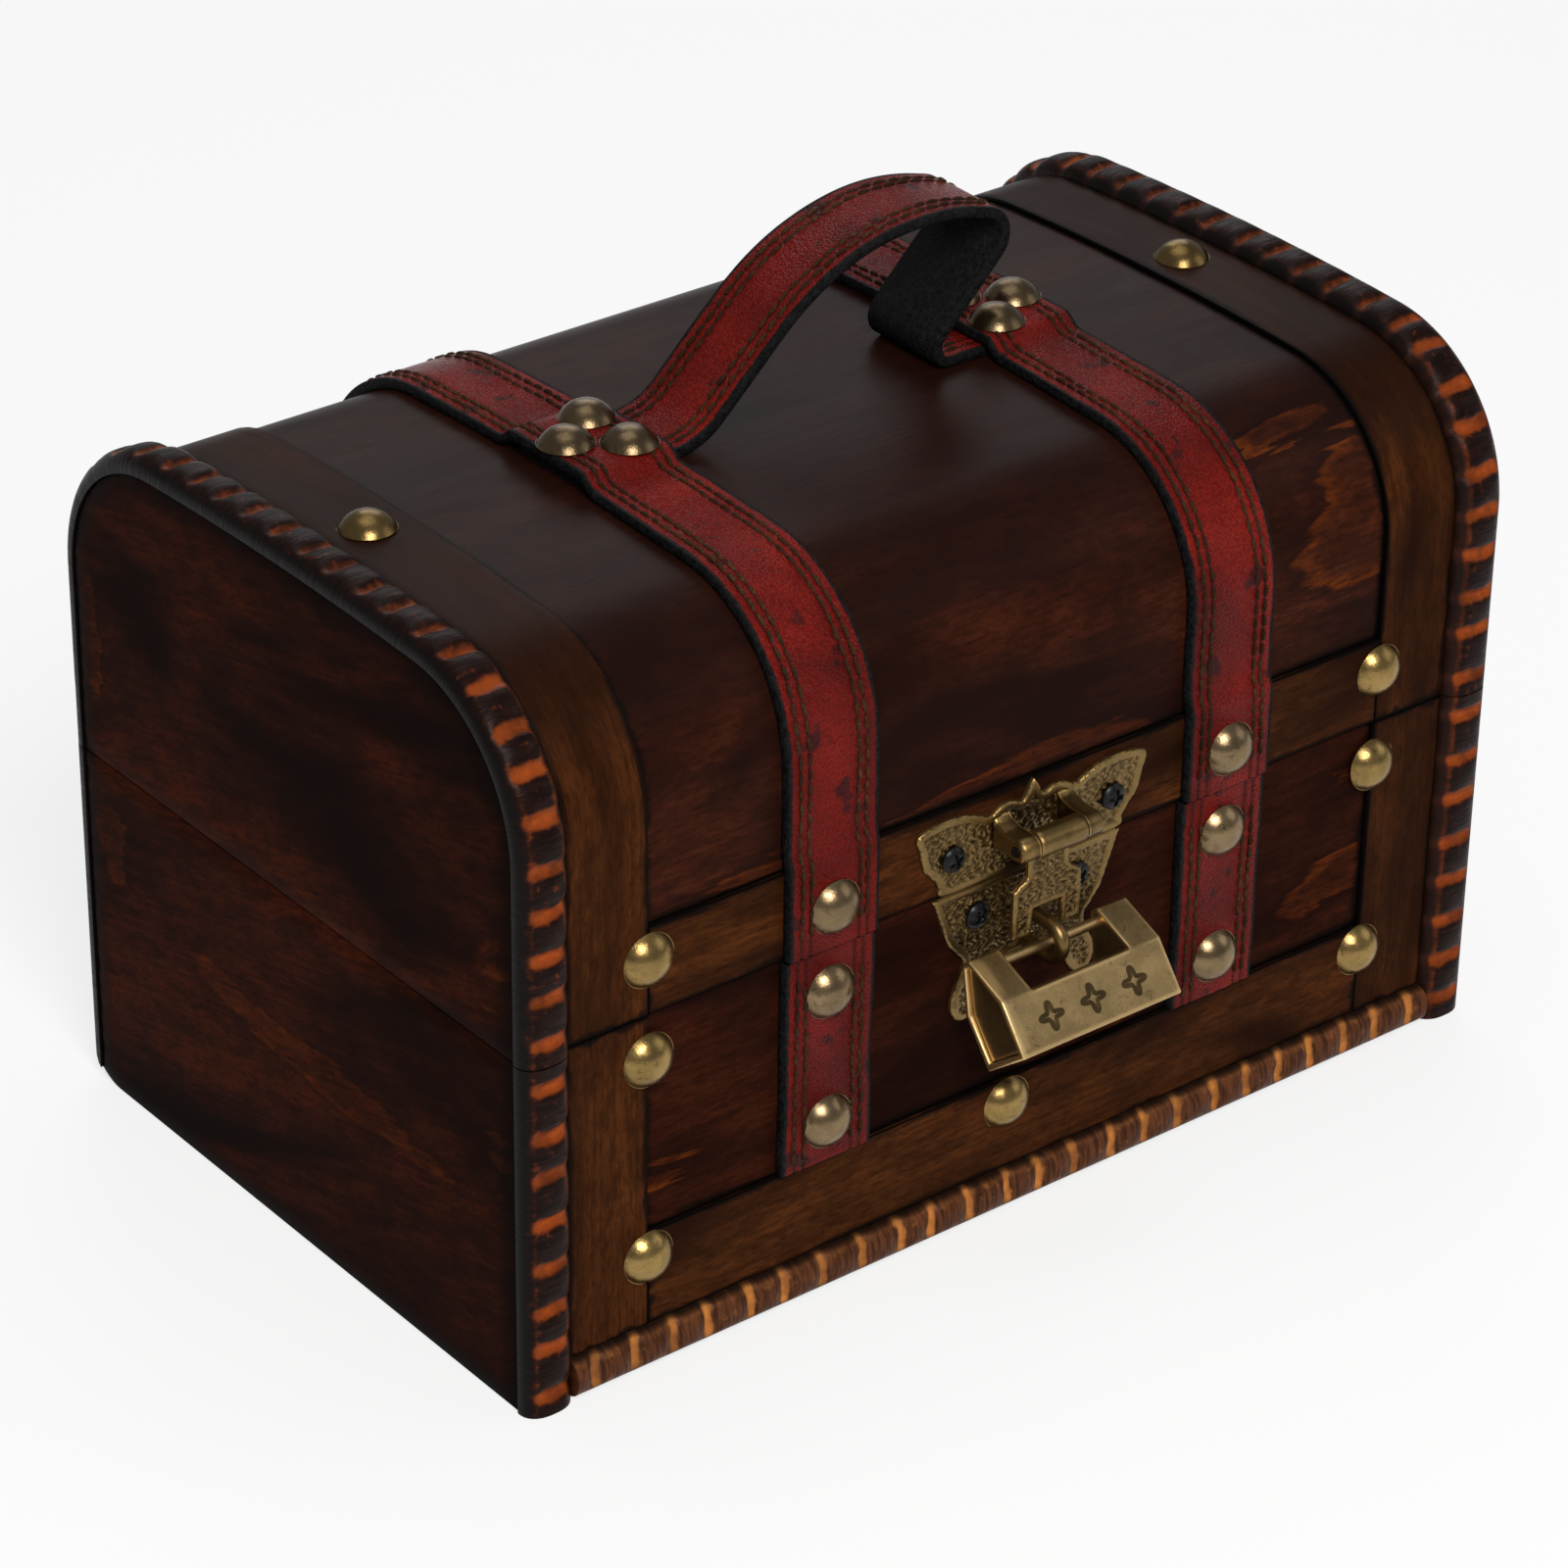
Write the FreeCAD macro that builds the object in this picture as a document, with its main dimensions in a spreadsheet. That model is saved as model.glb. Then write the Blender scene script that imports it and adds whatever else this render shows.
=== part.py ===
import FreeCAD, Part
import Sketcher
import math
import os
import re

# A wooden treasure chest box with an arched lid, carved rope trims, leather straps and handle,
# a butterfly hasp and a small sliding-bar padlock.
# Millimetres. X runs along the length, the front faces -Y, Z is up.
# The origin lies under the middle of the base, on the surface that the box stands on.

SIZES = [
    # Boards of the base and the lid.
    ("box_length", 220.0),
    ("panel_depth", 132.0),
    ("base_height", 70.0),
    ("lid_height", 65.0),
    ("lid_gap", 0.3),
    ("corner_radius", 27.5),
    ("dome_radius", 800.0),
    ("end_thickness", 8.0),
    ("panel_thickness", 6.0),
    ("bottom_thickness", 5.0),
    ("shell_thickness", 5.0),
    # Carved rope trims: a crowned strip crossed by round grooves.
    ("trim_width", 10.0),
    ("trim_thickness", 4.0),
    ("trim_edge", 1.6),
    ("trim_bevel", 2.6),
    ("foot_radius", 10.0),
    ("bottom_trim_height", 7.5),
    ("groove_pitch", 8.4),
    ("groove_width", 2.8),
    ("groove_depth", 2.2),
    ("relief_height", 12.0),
    ("relief_clearance", 0.6),
    # Thin bands.
    ("band_width", 17.0),
    ("band_thickness", 1.0),
    ("lid_band_height", 17.0),
    ("base_band_height", 19.0),
    # Leather straps and handle.
    ("strap_width", 19.5),
    ("strap_thickness", 2.2),
    ("strap_lead_share", 0.245),
    ("strap_ramp", 4.0),
    ("leather_gap", 0.3),
    ("handle_width", 19.0),
    ("handle_thickness", 2.2),
    ("handle_tuck", 18.0),
    ("handle_root_run", 7.2),
    ("handle_shoulder_place", -3.0),
    ("handle_shoulder_rise", 24.5),
    ("handle_apex_place", 20.0),
    ("handle_rise", 32.5),
    ("handle_fold_place", 44.5),
    ("handle_fold_rise", 25.5),
    ("handle_return_place", 20.5),
    ("handle_root_radius", 15.0),
    ("handle_bend_radius", 45.0),
    ("handle_fold_radius", 5.0),
    ("handle_tuck_radius", 3.2),
    ("seat_gap", 0.1),
    # Domed upholstery nails.
    ("nail_head_radius", 5.25),
    ("nail_head_height", 3.3),
    ("nail_shank_width", 1.5),
    ("nail_length", 5.5),
    ("nail_fit", 0.05),
    ("nail_below_rim", 8.6),
    ("nail_above_trim", 14.0),
    ("nail_above_lid_edge", 10.7),
    ("middle_nail_shift", -3.0),
    ("strap_nail_above_edge", 8.2),
    ("strap_nail_below_rim", 8.8),
    ("strap_nail_above_end", 8.0),
    ("handle_nail_inner", 3.8),
    ("handle_nail_outer", 5.2),
    ("handle_nail_side", 6.2),
    # Butterfly hasp.
    ("plate_thickness", 1.0),
    ("plate_split_gap", 0.3),
    ("wing_span", 52.2),
    ("wing_height", 13.7),
    ("wing_crest", 15.3),
    ("head_height", 17.0),
    ("hind_span", 42.0),
    ("hind_waist", 15.0),
    ("tail_height", 27.5),
    ("fork_land", 1.3),
    ("tail_span", 33.5),
    ("notch_drop", 1.2),
    ("neck_rise", 0.4),
    ("brow_bulge", 1.0),
    ("wing_bulge", 0.7),
    ("edge_bulge", 0.8),
    ("lobe_bulge", 1.4),
    ("tail_bulge", 0.9),
    ("fork_bulge", 0.4),
    ("ear_inner", 5.5),
    ("ear_outer", 9.7),
    ("ear_root_height", 8.4),
    ("barrel_radius", 2.6),
    ("barrel_reach", 6.2),
    ("barrel_rise", 8.5),
    ("barrel_play", 0.2),
    ("pin_radius", 0.9),
    ("pin_fit", 0.05),
    ("flap_thickness", 1.0),
    ("flap_neck", 4.6),
    ("flap_half_width", 7.8),
    ("flap_shoulder_drop", 10.2),
    ("flap_shoulder_slope", 2.6),
    ("flap_length", 19.6),
    ("slot_half_width", 3.2),
    ("slot_top_drop", 14.4),
    ("screw_head_radius", 2.5),
    ("screw_head_height", 1.3),
    ("screw_shank_radius", 1.0),
    ("screw_length", 5.0),
    ("upper_screw_place", 18.2),
    ("upper_screw_rise", 7.3),
    ("lower_screw_place", 11.4),
    ("lower_screw_drop", 6.5),
    # Ring staple on the lower plate.
    ("wire_radius", 1.4),
    ("ring_radius", 3.3),
    ("ring_reach", 6.4),
    ("ring_drop", 12.4),
    # Padlock, drawn about the axis of its bar.
    ("lock_length", 36.4),
    ("lock_depth", 12.0),
    ("lock_ridge_width", 2.0),
    ("lock_ridge_rise", 2.2),
    ("lock_eave_drop", 6.4),
    ("lock_base_drop", 17.0),
    ("lock_notch_length", 22.4),
    ("lock_rim", 1.1),
    ("lock_tilt", 38.0),
    ("lock_recess", 0.8),
    ("lock_end_wall", 3.0),
    ("end_plate_thickness", 1.6),
    ("slide_fit", 0.15),
    ("bar_radius", 1.0),
    ("bar_fit", 0.06),
    ("bar_hang", 0.6),
    ("bar_engagement", 2.8),
    ("chamber_size", 7.0),
    ("chamber_drop", 12.0),
    ("rod_radius", 0.9),
    ("rod_length", 22.0),
    ("spring_thickness", 0.5),
    ("spring_width", 4.0),
    ("spring_length", 12.0),
    ("spring_flare", 2.0),
    ("keyhole_width", 2.0),
    ("keyhole_height", 5.0),
    # Butt hinges at the back.
    ("hinge_share", 0.64),
    ("leaf_height", 11.0),
    ("leaf_thickness", 0.8),
    ("knuckle_radius", 2.0),
    ("knuckle_merge", 0.4),
    ("knuckle_play", 0.2),
    ("knuckle_clearance", 0.3),
    ("hinge_pin_radius", 0.9),
]
ALIASES = {alias for alias, number in SIZES}

os.makedirs("parts", exist_ok=True)
doc = FreeCAD.newDocument("TreasureChest")
sheet = doc.addObject("Spreadsheet::Sheet", "Sizes")
for row, (alias, number) in enumerate(SIZES, start=1):
    sheet.set(f"A{row}", alias)
    sheet.set(f"B{row}", str(number))
    sheet.setAlias(f"B{row}", alias)
doc.recompute()

# Places that several pieces share, written in terms of the sheet's sizes.
HALF_LENGTH = "(box_length / 2)"
FACE = "(panel_depth / 2)"
LID_LOW = "(base_height + lid_gap)"
LID_TOP = "(base_height + lid_gap + lid_height)"
INSIDE = "(box_length / 2 - end_thickness)"
TRIM_INNER = "(box_length / 2 - trim_width)"
BAND_INNER = "(box_length / 2 - trim_width - band_width)"
WING_TIP = "(wing_span / 2)"
FREE_LENGTH = f"({BAND_INNER} - {WING_TIP} - strap_width)"
STRAP_PLACE = f"({WING_TIP} + strap_lead_share * {FREE_LENGTH} + strap_width / 2)"
BAND_TOP = "(bottom_trim_height + base_band_height)"
STRAP_LOW = f"({BAND_TOP} + leather_gap)"
HINGE_ROOM = f"((1 - strap_lead_share) * {FREE_LENGTH})"
HINGE_WIDTH = f"(hinge_share * {HINGE_ROOM})"
HINGE_PLACE = f"({BAND_INNER} - {HINGE_ROOM} / 2)"
PIVOT_OUT = "(leaf_thickness + knuckle_radius - knuckle_merge)"
PIVOT_RISE = "(base_height + lid_gap / 2)"
UPPER_FACE = f"({FACE} + band_thickness + plate_thickness)"
BARREL_OUT = f"({UPPER_FACE} + barrel_reach)"
BARREL_HIGH = f"({LID_LOW} + barrel_rise)"
RING_HIGH = "(base_height - ring_drop)"
REACH = "(plate_thickness + ring_reach)"
BAR_OUT = f"({FACE} + {REACH})"
BAR_HIGH = f"({RING_HIGH} - bar_hang)"

nodes = {}


def bound(expression):
    """Give an expression with each alias written as a cell of the sheet."""
    return re.sub(
        r"[a-z_]+",
        lambda word: f"Sizes.{word.group()}" if word.group() in ALIASES else word.group(),
        expression,
    )


def size(expression):
    """Give the number that an expression of sheet sizes comes to."""
    return float(sheet.evalExpression(bound(expression)))


def line(start, end):
    """Give a straight sketch edge between two points of the sketch plane."""
    return Part.LineSegment(FreeCAD.Vector(*start, 0), FreeCAD.Vector(*end, 0))


def arc(start, middle, end):
    """Give a round sketch edge through three points of the sketch plane."""
    points = [FreeCAD.Vector(*point, 0) for point in (start, middle, end)]
    return Part.Arc(*points)


def circle(centre, radius):
    """Give a full circle in the sketch plane."""
    return Part.Circle(FreeCAD.Vector(*centre, 0), FreeCAD.Vector(0, 0, 1), radius)


def bulge(start, end, height):
    """Give a round edge that swells to the left of its chord by a height, or right if negative."""
    across = end[0] - start[0]
    along = end[1] - start[1]
    chord = math.hypot(across, along)
    middle = (
        (start[0] + end[0]) / 2 - along / chord * height,
        (start[1] + end[1]) / 2 + across / chord * height,
    )
    return arc(start, middle, end)


def polygon(points):
    """Give the straight edges of a closed outline."""
    return [line(start, end) for start, end in zip(points, points[1:] + points[:1])]


def mirrored(points):
    """Give points mirrored left to right, in reverse order."""
    return [(-across, up) for across, up in reversed(points)]


def new_body(name):
    """Start a body for one piece."""
    return doc.addObject("PartDesign::Body", name)


def new_sketch(body, role, curves, offset="0", rise=0.0):
    """Draw curves on one of a body's origin planes, moved along its normal and up in the plane."""
    plane = next(feature for feature in body.Origin.OriginFeatures if feature.Role == role)
    sketch = body.newObject("Sketcher::SketchObject", f"{body.Name}_outline")
    sketch.AttachmentSupport = [(plane, "")]
    sketch.MapMode = "FlatFace"
    sketch.AttachmentOffset.Base.y = rise
    sketch.setExpression("AttachmentOffset.Base.z", bound(offset))
    for curve in curves:
        sketch.addGeometry(curve, False)
    return sketch


def rectangle_sketch(body, role, left, right, low, high, offset="0"):
    """Draw a rectangle whose four sides are bound to expressions of the sheet's sizes."""
    corners = [(left, low), (right, low), (right, high), (left, high)]
    places = [(size(across), size(up)) for across, up in corners]
    sketch = new_sketch(body, role, polygon(places), offset)
    for side in range(4):
        after = (side + 1) % 4
        sketch.addConstraint(Sketcher.Constraint("Coincident", side, 2, after, 1))
    for side, kind in enumerate(("Horizontal", "Vertical", "Horizontal", "Vertical")):
        sketch.addConstraint(Sketcher.Constraint(kind, side))
    origin = (-1, 1)
    bindings = [
        ("left", "DistanceX", 0, left),
        ("low", "DistanceY", 0, low),
        ("right", "DistanceX", 2, right),
        ("high", "DistanceY", 2, high),
    ]
    for name, kind, side, expression in bindings:
        index = sketch.addConstraint(Sketcher.Constraint(kind, *origin, side, 1, size(expression)))
        sketch.renameConstraint(index, name)
        sketch.setExpression(f"Constraints.{name}", bound(expression))
    return sketch


def pad(body, sketch, length, symmetric=False, backward=False):
    """Raise a sketch along its normal, against it, or to both sides of it."""
    feature = body.newObject("PartDesign::Pad", f"{body.Name}_pad")
    feature.Profile = sketch
    feature.SideType = "Symmetric" if symmetric else "One side"
    feature.Reversed = backward
    feature.setExpression("Length", bound(length))
    doc.recompute()
    return feature


def cut_through(body, sketch):
    """Cut a sketch right through a body, to both sides, and see that it removed something."""
    before = body.Shape.Volume
    feature = body.newObject("PartDesign::Pocket", f"{body.Name}_cut")
    feature.Profile = sketch
    feature.SideType = "Symmetric"
    feature.Type = "ThroughAll"
    doc.recompute()
    if body.Shape.Volume >= before:
        raise ValueError(f"the cut in {body.Name} removed nothing")
    return feature


def cut_deep(body, sketch, depth):
    """Cut a sketch to a depth against its normal, and see that it removed something."""
    before = body.Shape.Volume
    feature = body.newObject("PartDesign::Pocket", f"{body.Name}_cut")
    feature.Profile = sketch
    feature.setExpression("Length", bound(depth))
    doc.recompute()
    if body.Shape.Volume >= before:
        raise ValueError(f"the cut in {body.Name} removed nothing")
    return feature


def turn(body, sketch, angle, axis="H_Axis", symmetric=False, backward=False):
    """Turn a sketch about one of its own axes by an angle in degrees."""
    feature = body.newObject("PartDesign::Revolution", f"{body.Name}_turn")
    feature.Profile = sketch
    feature.ReferenceAxis = (sketch, [axis])
    feature.Angle = angle
    feature.Midplane = symmetric
    feature.Reversed = backward
    doc.recompute()
    return feature


def keep(label, piece):
    """Name a finished piece, which becomes the node of that name."""
    piece.Label = label
    nodes[label] = piece
    return piece


def aligned(shape, seat, outward):
    """Give a copy of a shape drawn along +Z, stood on a seat and turned to point outward."""
    turn = FreeCAD.Rotation(FreeCAD.Vector(0, 0, 1), outward)
    copy = shape.copy()
    copy.Placement = FreeCAD.Placement(seat, turn)
    return copy


def keep_group(label, shapes):
    """Keep like pieces as one node of separate solids."""
    group = doc.addObject("Part::Feature", label)
    group.Shape = Part.makeCompound(shapes)
    return keep(label, group)


def drilled(label, blank, seats, bit):
    """Cut a bit, drawn along Z through its seat, into a piece at each seat."""
    drill = doc.addObject("Part::Feature", f"{label}_drill")
    drill.Shape = Part.makeCompound([aligned(bit, seat, outward) for seat, outward in seats])
    piece = doc.addObject("Part::Cut", f"{label}_drilled")
    piece.Base = blank
    piece.Tool = drill
    return piece


# The arch: upright sides, round corners and a slightly domed top.

def arch_frame():
    """Give the corner's centre, the dome's centre height and the lean where the two arcs meet."""
    corner = size("corner_radius")
    dome = size("dome_radius")
    corner_y = size(f"{FACE} - corner_radius")
    dome_z = size(f"{LID_TOP} - dome_radius")
    corner_z = dome_z + math.sqrt((dome - corner) ** 2 - corner_y**2)
    lean = math.asin(corner_y / (dome - corner))
    return corner_y, corner_z, dome_z, lean


def dome_point(across, offset):
    """Give the point of the domed top at a distance across, moved outward by an offset."""
    dome_z = arch_frame()[2]
    radius = size("dome_radius") + offset
    return (across, dome_z + math.sqrt(radius**2 - across**2))


def dome_normal(across):
    """Give the outward direction of the domed top at a distance across."""
    turn = math.asin(across / size("dome_radius"))
    return FreeCAD.Vector(0, math.sin(turn), math.cos(turn))


def corner_arc(side, offset):
    """Give the start, middle and end of a round corner, from its upright side to the dome."""
    corner_y, corner_z, dome_z, lean = arch_frame()
    radius = size("corner_radius") + offset
    places = []
    for angle in (math.pi / 2, (math.pi / 2 + lean) / 2, lean):
        places.append((side * (corner_y + radius * math.sin(angle)), corner_z + radius * math.cos(angle)))
    return places


def arch_run(offset, low):
    """Give the edges of the arch at an offset, from the front's low end over to the back's."""
    front = corner_arc(-1, offset)
    back = corner_arc(1, offset)
    return [
        line((front[0][0], low), front[0]),
        arc(*front),
        arc(front[2], dome_point(0, offset), back[2]),
        arc(back[2], back[1], back[0]),
        line(back[0], (back[0][0], low)),
    ]


def arch_ring(inner, outer, low):
    """Give the closed outline of a strip that follows the arch between two offsets."""
    face = size(FACE)
    ends = [line((side * (face + inner), low), (side * (face + outer), low)) for side in (-1, 1)]
    return arch_run(inner, low) + arch_run(outer, low) + ends


def arch_walk(distance, offset):
    """Give a point of the arch at an offset, a distance from the front's low end, and its angle."""
    corner_y, corner_z, dome_z, lean = arch_frame()
    upright = corner_z - size(LID_LOW)
    radius = size("corner_radius") + offset
    bend = radius * (math.pi / 2 - lean)
    dome = size("dome_radius") + offset
    half = upright + bend + dome * lean
    side = -1 if distance <= half else 1
    along = distance if distance <= half else 2 * half - distance
    if along <= upright:
        return (side * (corner_y + radius), size(LID_LOW) + along), side * math.pi / 2
    if along <= upright + bend:
        angle = math.pi / 2 - (along - upright) / radius
        place = (side * (corner_y + radius * math.sin(angle)), corner_z + radius * math.cos(angle))
        return place, side * angle
    angle = (half - along) / dome
    return (side * dome * math.sin(angle), dome_z + dome * math.cos(angle)), side * angle


def arch_length(offset):
    """Give the length of the arch at an offset."""
    corner_y, corner_z, dome_z, lean = arch_frame()
    bend = (size("corner_radius") + offset) * (math.pi / 2 - lean)
    return 2 * (corner_z - size(LID_LOW) + bend + (size("dome_radius") + offset) * lean)


# Boards of the base.

def round_foot(piece):
    """Round a piece's low back edge to the curve that the base's boards and trims share."""
    foot = size("foot_radius")
    outer = size(f"{FACE} + trim_thickness")
    inner = outer - foot
    diagonal = math.sqrt(0.5) * foot
    waste = [
        arc((inner, 0), (inner + diagonal, foot - diagonal), (outer, foot)),
        line((outer, foot), (outer, 0)),
        line((outer, 0), (inner, 0)),
    ]
    cut_through(piece, new_sketch(piece, "YZ_Plane", waste))


def make_base_boards():
    """Make the five boards of the base, with the walls standing round the bottom."""
    front = new_body("BaseFrontPanel")
    face = f"{FACE} - panel_thickness"
    outline = rectangle_sketch(front, "XZ_Plane", f"-{INSIDE}", INSIDE, "0", "base_height", face)
    pad(front, outline, "panel_thickness")
    back = new_body("BaseBackPanel")
    outline = rectangle_sketch(back, "XZ_Plane", f"-{INSIDE}", INSIDE, "0", "base_height", f"-{FACE}")
    pad(back, outline, "panel_thickness")
    round_foot(back)
    for label, place in (("base_left_end", f"-{HALF_LENGTH}"), ("base_right_end", INSIDE)):
        end = new_body(label)
        outline = rectangle_sketch(end, "YZ_Plane", f"-{FACE}", FACE, "0", "base_height", place)
        pad(end, outline, "end_thickness")
        round_foot(end)
        keep(label, end)
    bottom = new_body("base_bottom_panel")
    wall = f"({FACE} - panel_thickness)"
    outline = rectangle_sketch(bottom, "XY_Plane", f"-{INSIDE}", INSIDE, f"-{wall}", wall)
    pad(bottom, outline, "bottom_thickness")
    keep("base_bottom_panel", bottom)
    return front, back


def front_strip(name, left, right, low, high, thickness, seat="0"):
    """Make a flat strip that lies on the front, over a seat of its own height."""
    strip = new_body(name)
    outline = rectangle_sketch(strip, "XZ_Plane", left, right, low, high, f"{FACE} + {seat}")
    pad(strip, outline, thickness)
    return strip


# Boards of the lid.

def make_lid_boards():
    """Make the arched ends of the lid and the bent shell between them."""
    low = size(LID_LOW)
    face = size(FACE)
    arch = arch_run(0, low) + [line((face, low), (-face, low))]
    for label, place in (("lid_left_end", f"-{HALF_LENGTH}"), ("lid_right_end", INSIDE)):
        end = new_body(label)
        pad(end, new_sketch(end, "YZ_Plane", arch, place), "end_thickness")
        keep(label, end)
    shell = new_body("LidShell")
    ring = arch_ring(-size("shell_thickness"), 0, low)
    pad(shell, new_sketch(shell, "YZ_Plane", ring), "box_length - 2 * end_thickness", symmetric=True)
    return shell


def make_lid_band(name, place):
    """Make a thin band that follows the arch beside a trim."""
    band = new_body(name)
    ring = arch_ring(0, size("band_thickness"), size(LID_LOW))
    pad(band, new_sketch(band, "YZ_Plane", ring, place), "band_width")
    return band


# Carved rope trims.

def crown(start, end, base, side):
    """Give the outline of a trim's section: a flat back, low edges and a top with broad bevels."""
    edge = base + side * size("trim_edge")
    top = base + side * size("trim_thickness")
    bevel = size("trim_bevel")
    outline = [(start, base), (end, base), (end, edge), (end - bevel, top), (start + bevel, top), (start, edge)]
    return polygon(outline)


def groove_places(length):
    """Give the places of the grooves along a trim, evenly spaced with half a step at each end."""
    count = max(1, round(length / size("groove_pitch")))
    return [length * (number + 0.5) / count for number in range(count)]


def groove(crest, angle):
    """Give a groove's outline: a notch from a point of the crest, faced at an angle from upright."""
    out = (math.sin(angle), math.cos(angle))
    depth = size("groove_depth")
    half = size("groove_width / 2")
    notch = []
    for reach, aside in ((-depth, 0.0), (depth, 2 * half), (depth, -2 * half)):
        notch.append((crest[0] + reach * out[0] + aside * out[1], crest[1] + reach * out[1] - aside * out[0]))
    return polygon(notch)


def trim_sides(side):
    """Give the two edges of an end's trim along the length."""
    return sorted((side * size(HALF_LENGTH), side * size(TRIM_INNER)))


def make_upright_trim(label, side, facing):
    """Make a carved trim that stands at a corner of the base, with a foot rounded at the back."""
    trim = new_body(label)
    base = facing * size(FACE)
    section = crown(*trim_sides(side), base, facing)
    pad(trim, new_sketch(trim, "XY_Plane", section), "base_height")
    crest = base + facing * size("trim_thickness")
    grooves = []
    for up in groove_places(size("base_height")):
        grooves += groove((crest, up), facing * math.pi / 2)
    cut_through(trim, new_sketch(trim, "YZ_Plane", grooves))
    if facing > 0:
        round_foot(trim)
    return keep(label, trim)


def make_bottom_trim():
    """Make the carved trim along the front's bottom edge, between the upright trims."""
    trim = new_body("base_bottom_trim")
    section = crown(0, size("bottom_trim_height"), -size(FACE), -1)
    turned = []
    for curve in section:
        turned.append(curve.copy())
        turned[-1].mirror(FreeCAD.Vector(0, 0, 0), FreeCAD.Vector(1, 1, 0))
    pad(trim, new_sketch(trim, "YZ_Plane", turned), f"2 * {TRIM_INNER}", symmetric=True)
    crest = -size(f"{FACE} + trim_thickness")
    run = size(f"2 * {TRIM_INNER}")
    grooves = []
    for place in groove_places(run):
        grooves += groove((place - run / 2, crest), math.pi)
    cut_through(trim, new_sketch(trim, "XY_Plane", grooves))
    return keep("base_bottom_trim", trim)


def make_lid_trim(label, side):
    """Make the carved trim that bends over the arch, cut back low down to clear the hinge's turn."""
    trim = new_body(label)
    edges = trim_sides(side)
    corner_y, corner_z, dome_z, lean = arch_frame()
    upright = f"{corner_z} - {LID_LOW}"
    bend = 90.0 - math.degrees(lean)
    radius = size("corner_radius")
    for facing in (-1, 1):
        foot = crown(*edges, facing * size(FACE), facing)
        pad(trim, new_sketch(trim, "XY_Plane", foot, LID_LOW), upright)
        shoulder = crown(*edges, facing * radius, facing)
        sketch = new_sketch(trim, "XY_Plane", shoulder, f"{corner_z}", facing * corner_y)
        turn(trim, sketch, bend, backward=facing < 0)
    top = crown(*edges, size("dome_radius"), 1)
    sketch = new_sketch(trim, "XZ_Plane", top, rise=dome_z)
    turn(trim, sketch, 2 * math.degrees(lean), symmetric=True)
    crest = size("trim_thickness")
    grooves = []
    for place in groove_places(arch_length(crest)):
        grooves += groove(*arch_walk(place, crest))
    cut_through(trim, new_sketch(trim, "YZ_Plane", grooves))
    inner = size(f"{FACE} + {PIVOT_OUT} - relief_clearance")
    outer = size(f"{FACE} + 2 * trim_thickness")
    low = size(f"{LID_LOW} - lid_gap")
    high = size(f"{LID_LOW} + relief_height")
    relief = polygon([(inner, low), (outer, low), (outer, high + outer - inner), (inner, high)])
    cut_through(trim, new_sketch(trim, "YZ_Plane", relief))
    return keep(label, trim)


# Leather.

def strap_run(offset):
    """Give the edges of a strap's face: over the front band, up, over the handle's end and down."""
    face = size(FACE) + offset
    band = size("band_thickness")
    lift = size("handle_thickness + seat_gap")
    low = size(f"{LID_LOW} + leather_gap")
    step = size(f"{LID_LOW} + lid_band_height + leather_gap")
    ramp = size("strap_ramp")
    flat = size("handle_width / 2 + leather_gap")
    front = corner_arc(-1, offset)
    back = corner_arc(1, offset)
    before, rise = dome_point(-flat - ramp, offset), dome_point(-flat, offset + lift)
    after, fall = dome_point(flat + ramp, offset), dome_point(flat, offset + lift)
    return [
        line((-face - band, low), (-face - band, step)),
        line((-face - band, step), (-face, step + ramp)),
        line((-face, step + ramp), front[0]),
        arc(*front),
        arc(front[2], dome_point((front[2][0] + before[0]) / 2, offset), before),
        line(before, rise),
        arc(rise, dome_point(0, offset + lift), fall),
        line(fall, after),
        arc(after, dome_point((back[2][0] + after[0]) / 2, offset), back[2]),
        arc(back[2], back[1], back[0]),
        line(back[0], (face, low)),
    ]


def make_lid_strap(name, place):
    """Make a leather strap over the lid, stepped over the front band and the handle's end."""
    strap = new_body(name)
    thickness = size("strap_thickness")
    face = size(FACE)
    band = size("band_thickness")
    low = size(f"{LID_LOW} + leather_gap")
    ends = [
        line((-face - band, low), (-face - band - thickness, low)),
        line((face, low), (face + thickness, low)),
    ]
    outline = strap_run(0) + strap_run(thickness) + ends
    pad(strap, new_sketch(strap, "YZ_Plane", outline, place), "strap_width")
    return strap


def bent_strip(points, radii, thickness):
    """Give the outline of a strip of even thickness along a route with rounded corners."""
    spots = [FreeCAD.Vector(across, up, 0) for across, up in points]
    ways = [(after - before).normalize() for before, after in zip(spots, spots[1:])]
    sides = {1: [], -1: []}
    starts = {}
    for side in sides:
        starts[side] = spots[0] + FreeCAD.Vector(-ways[0].y, ways[0].x, 0) * (side * thickness / 2)
    for number, radius in enumerate(radii, start=1):
        before, after = ways[number - 1], ways[number]
        turn = math.atan2(before.x * after.y - before.y * after.x, before.dot(after))
        sign = math.copysign(1, turn)
        reach = radius * math.tan(abs(turn) / 2)
        into = spots[number] - before * reach
        out = spots[number] + after * reach
        inward = FreeCAD.Vector(-before.y, before.x, 0) * sign
        centre = into + inward * radius
        outward = (spots[number] - centre).normalize()
        for side in sides:
            bend = radius - side * sign * thickness / 2
            first = centre - inward * bend
            middle = centre + outward * bend
            last = centre + (out - centre).normalize() * bend
            sides[side].append(Part.LineSegment(starts[side], first))
            sides[side].append(Part.Arc(first, middle, last))
            starts[side] = last
    tips = {}
    for side in sides:
        tips[side] = spots[-1] + FreeCAD.Vector(-ways[-1].y, ways[-1].x, 0) * (side * thickness / 2)
        sides[side].append(Part.LineSegment(starts[side], tips[side]))
    root = {side: sides[side][0].StartPoint for side in sides}
    caps = [Part.LineSegment(root[1], root[-1]), Part.LineSegment(tips[1], tips[-1])]
    return sides[1] + sides[-1] + caps


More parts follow.
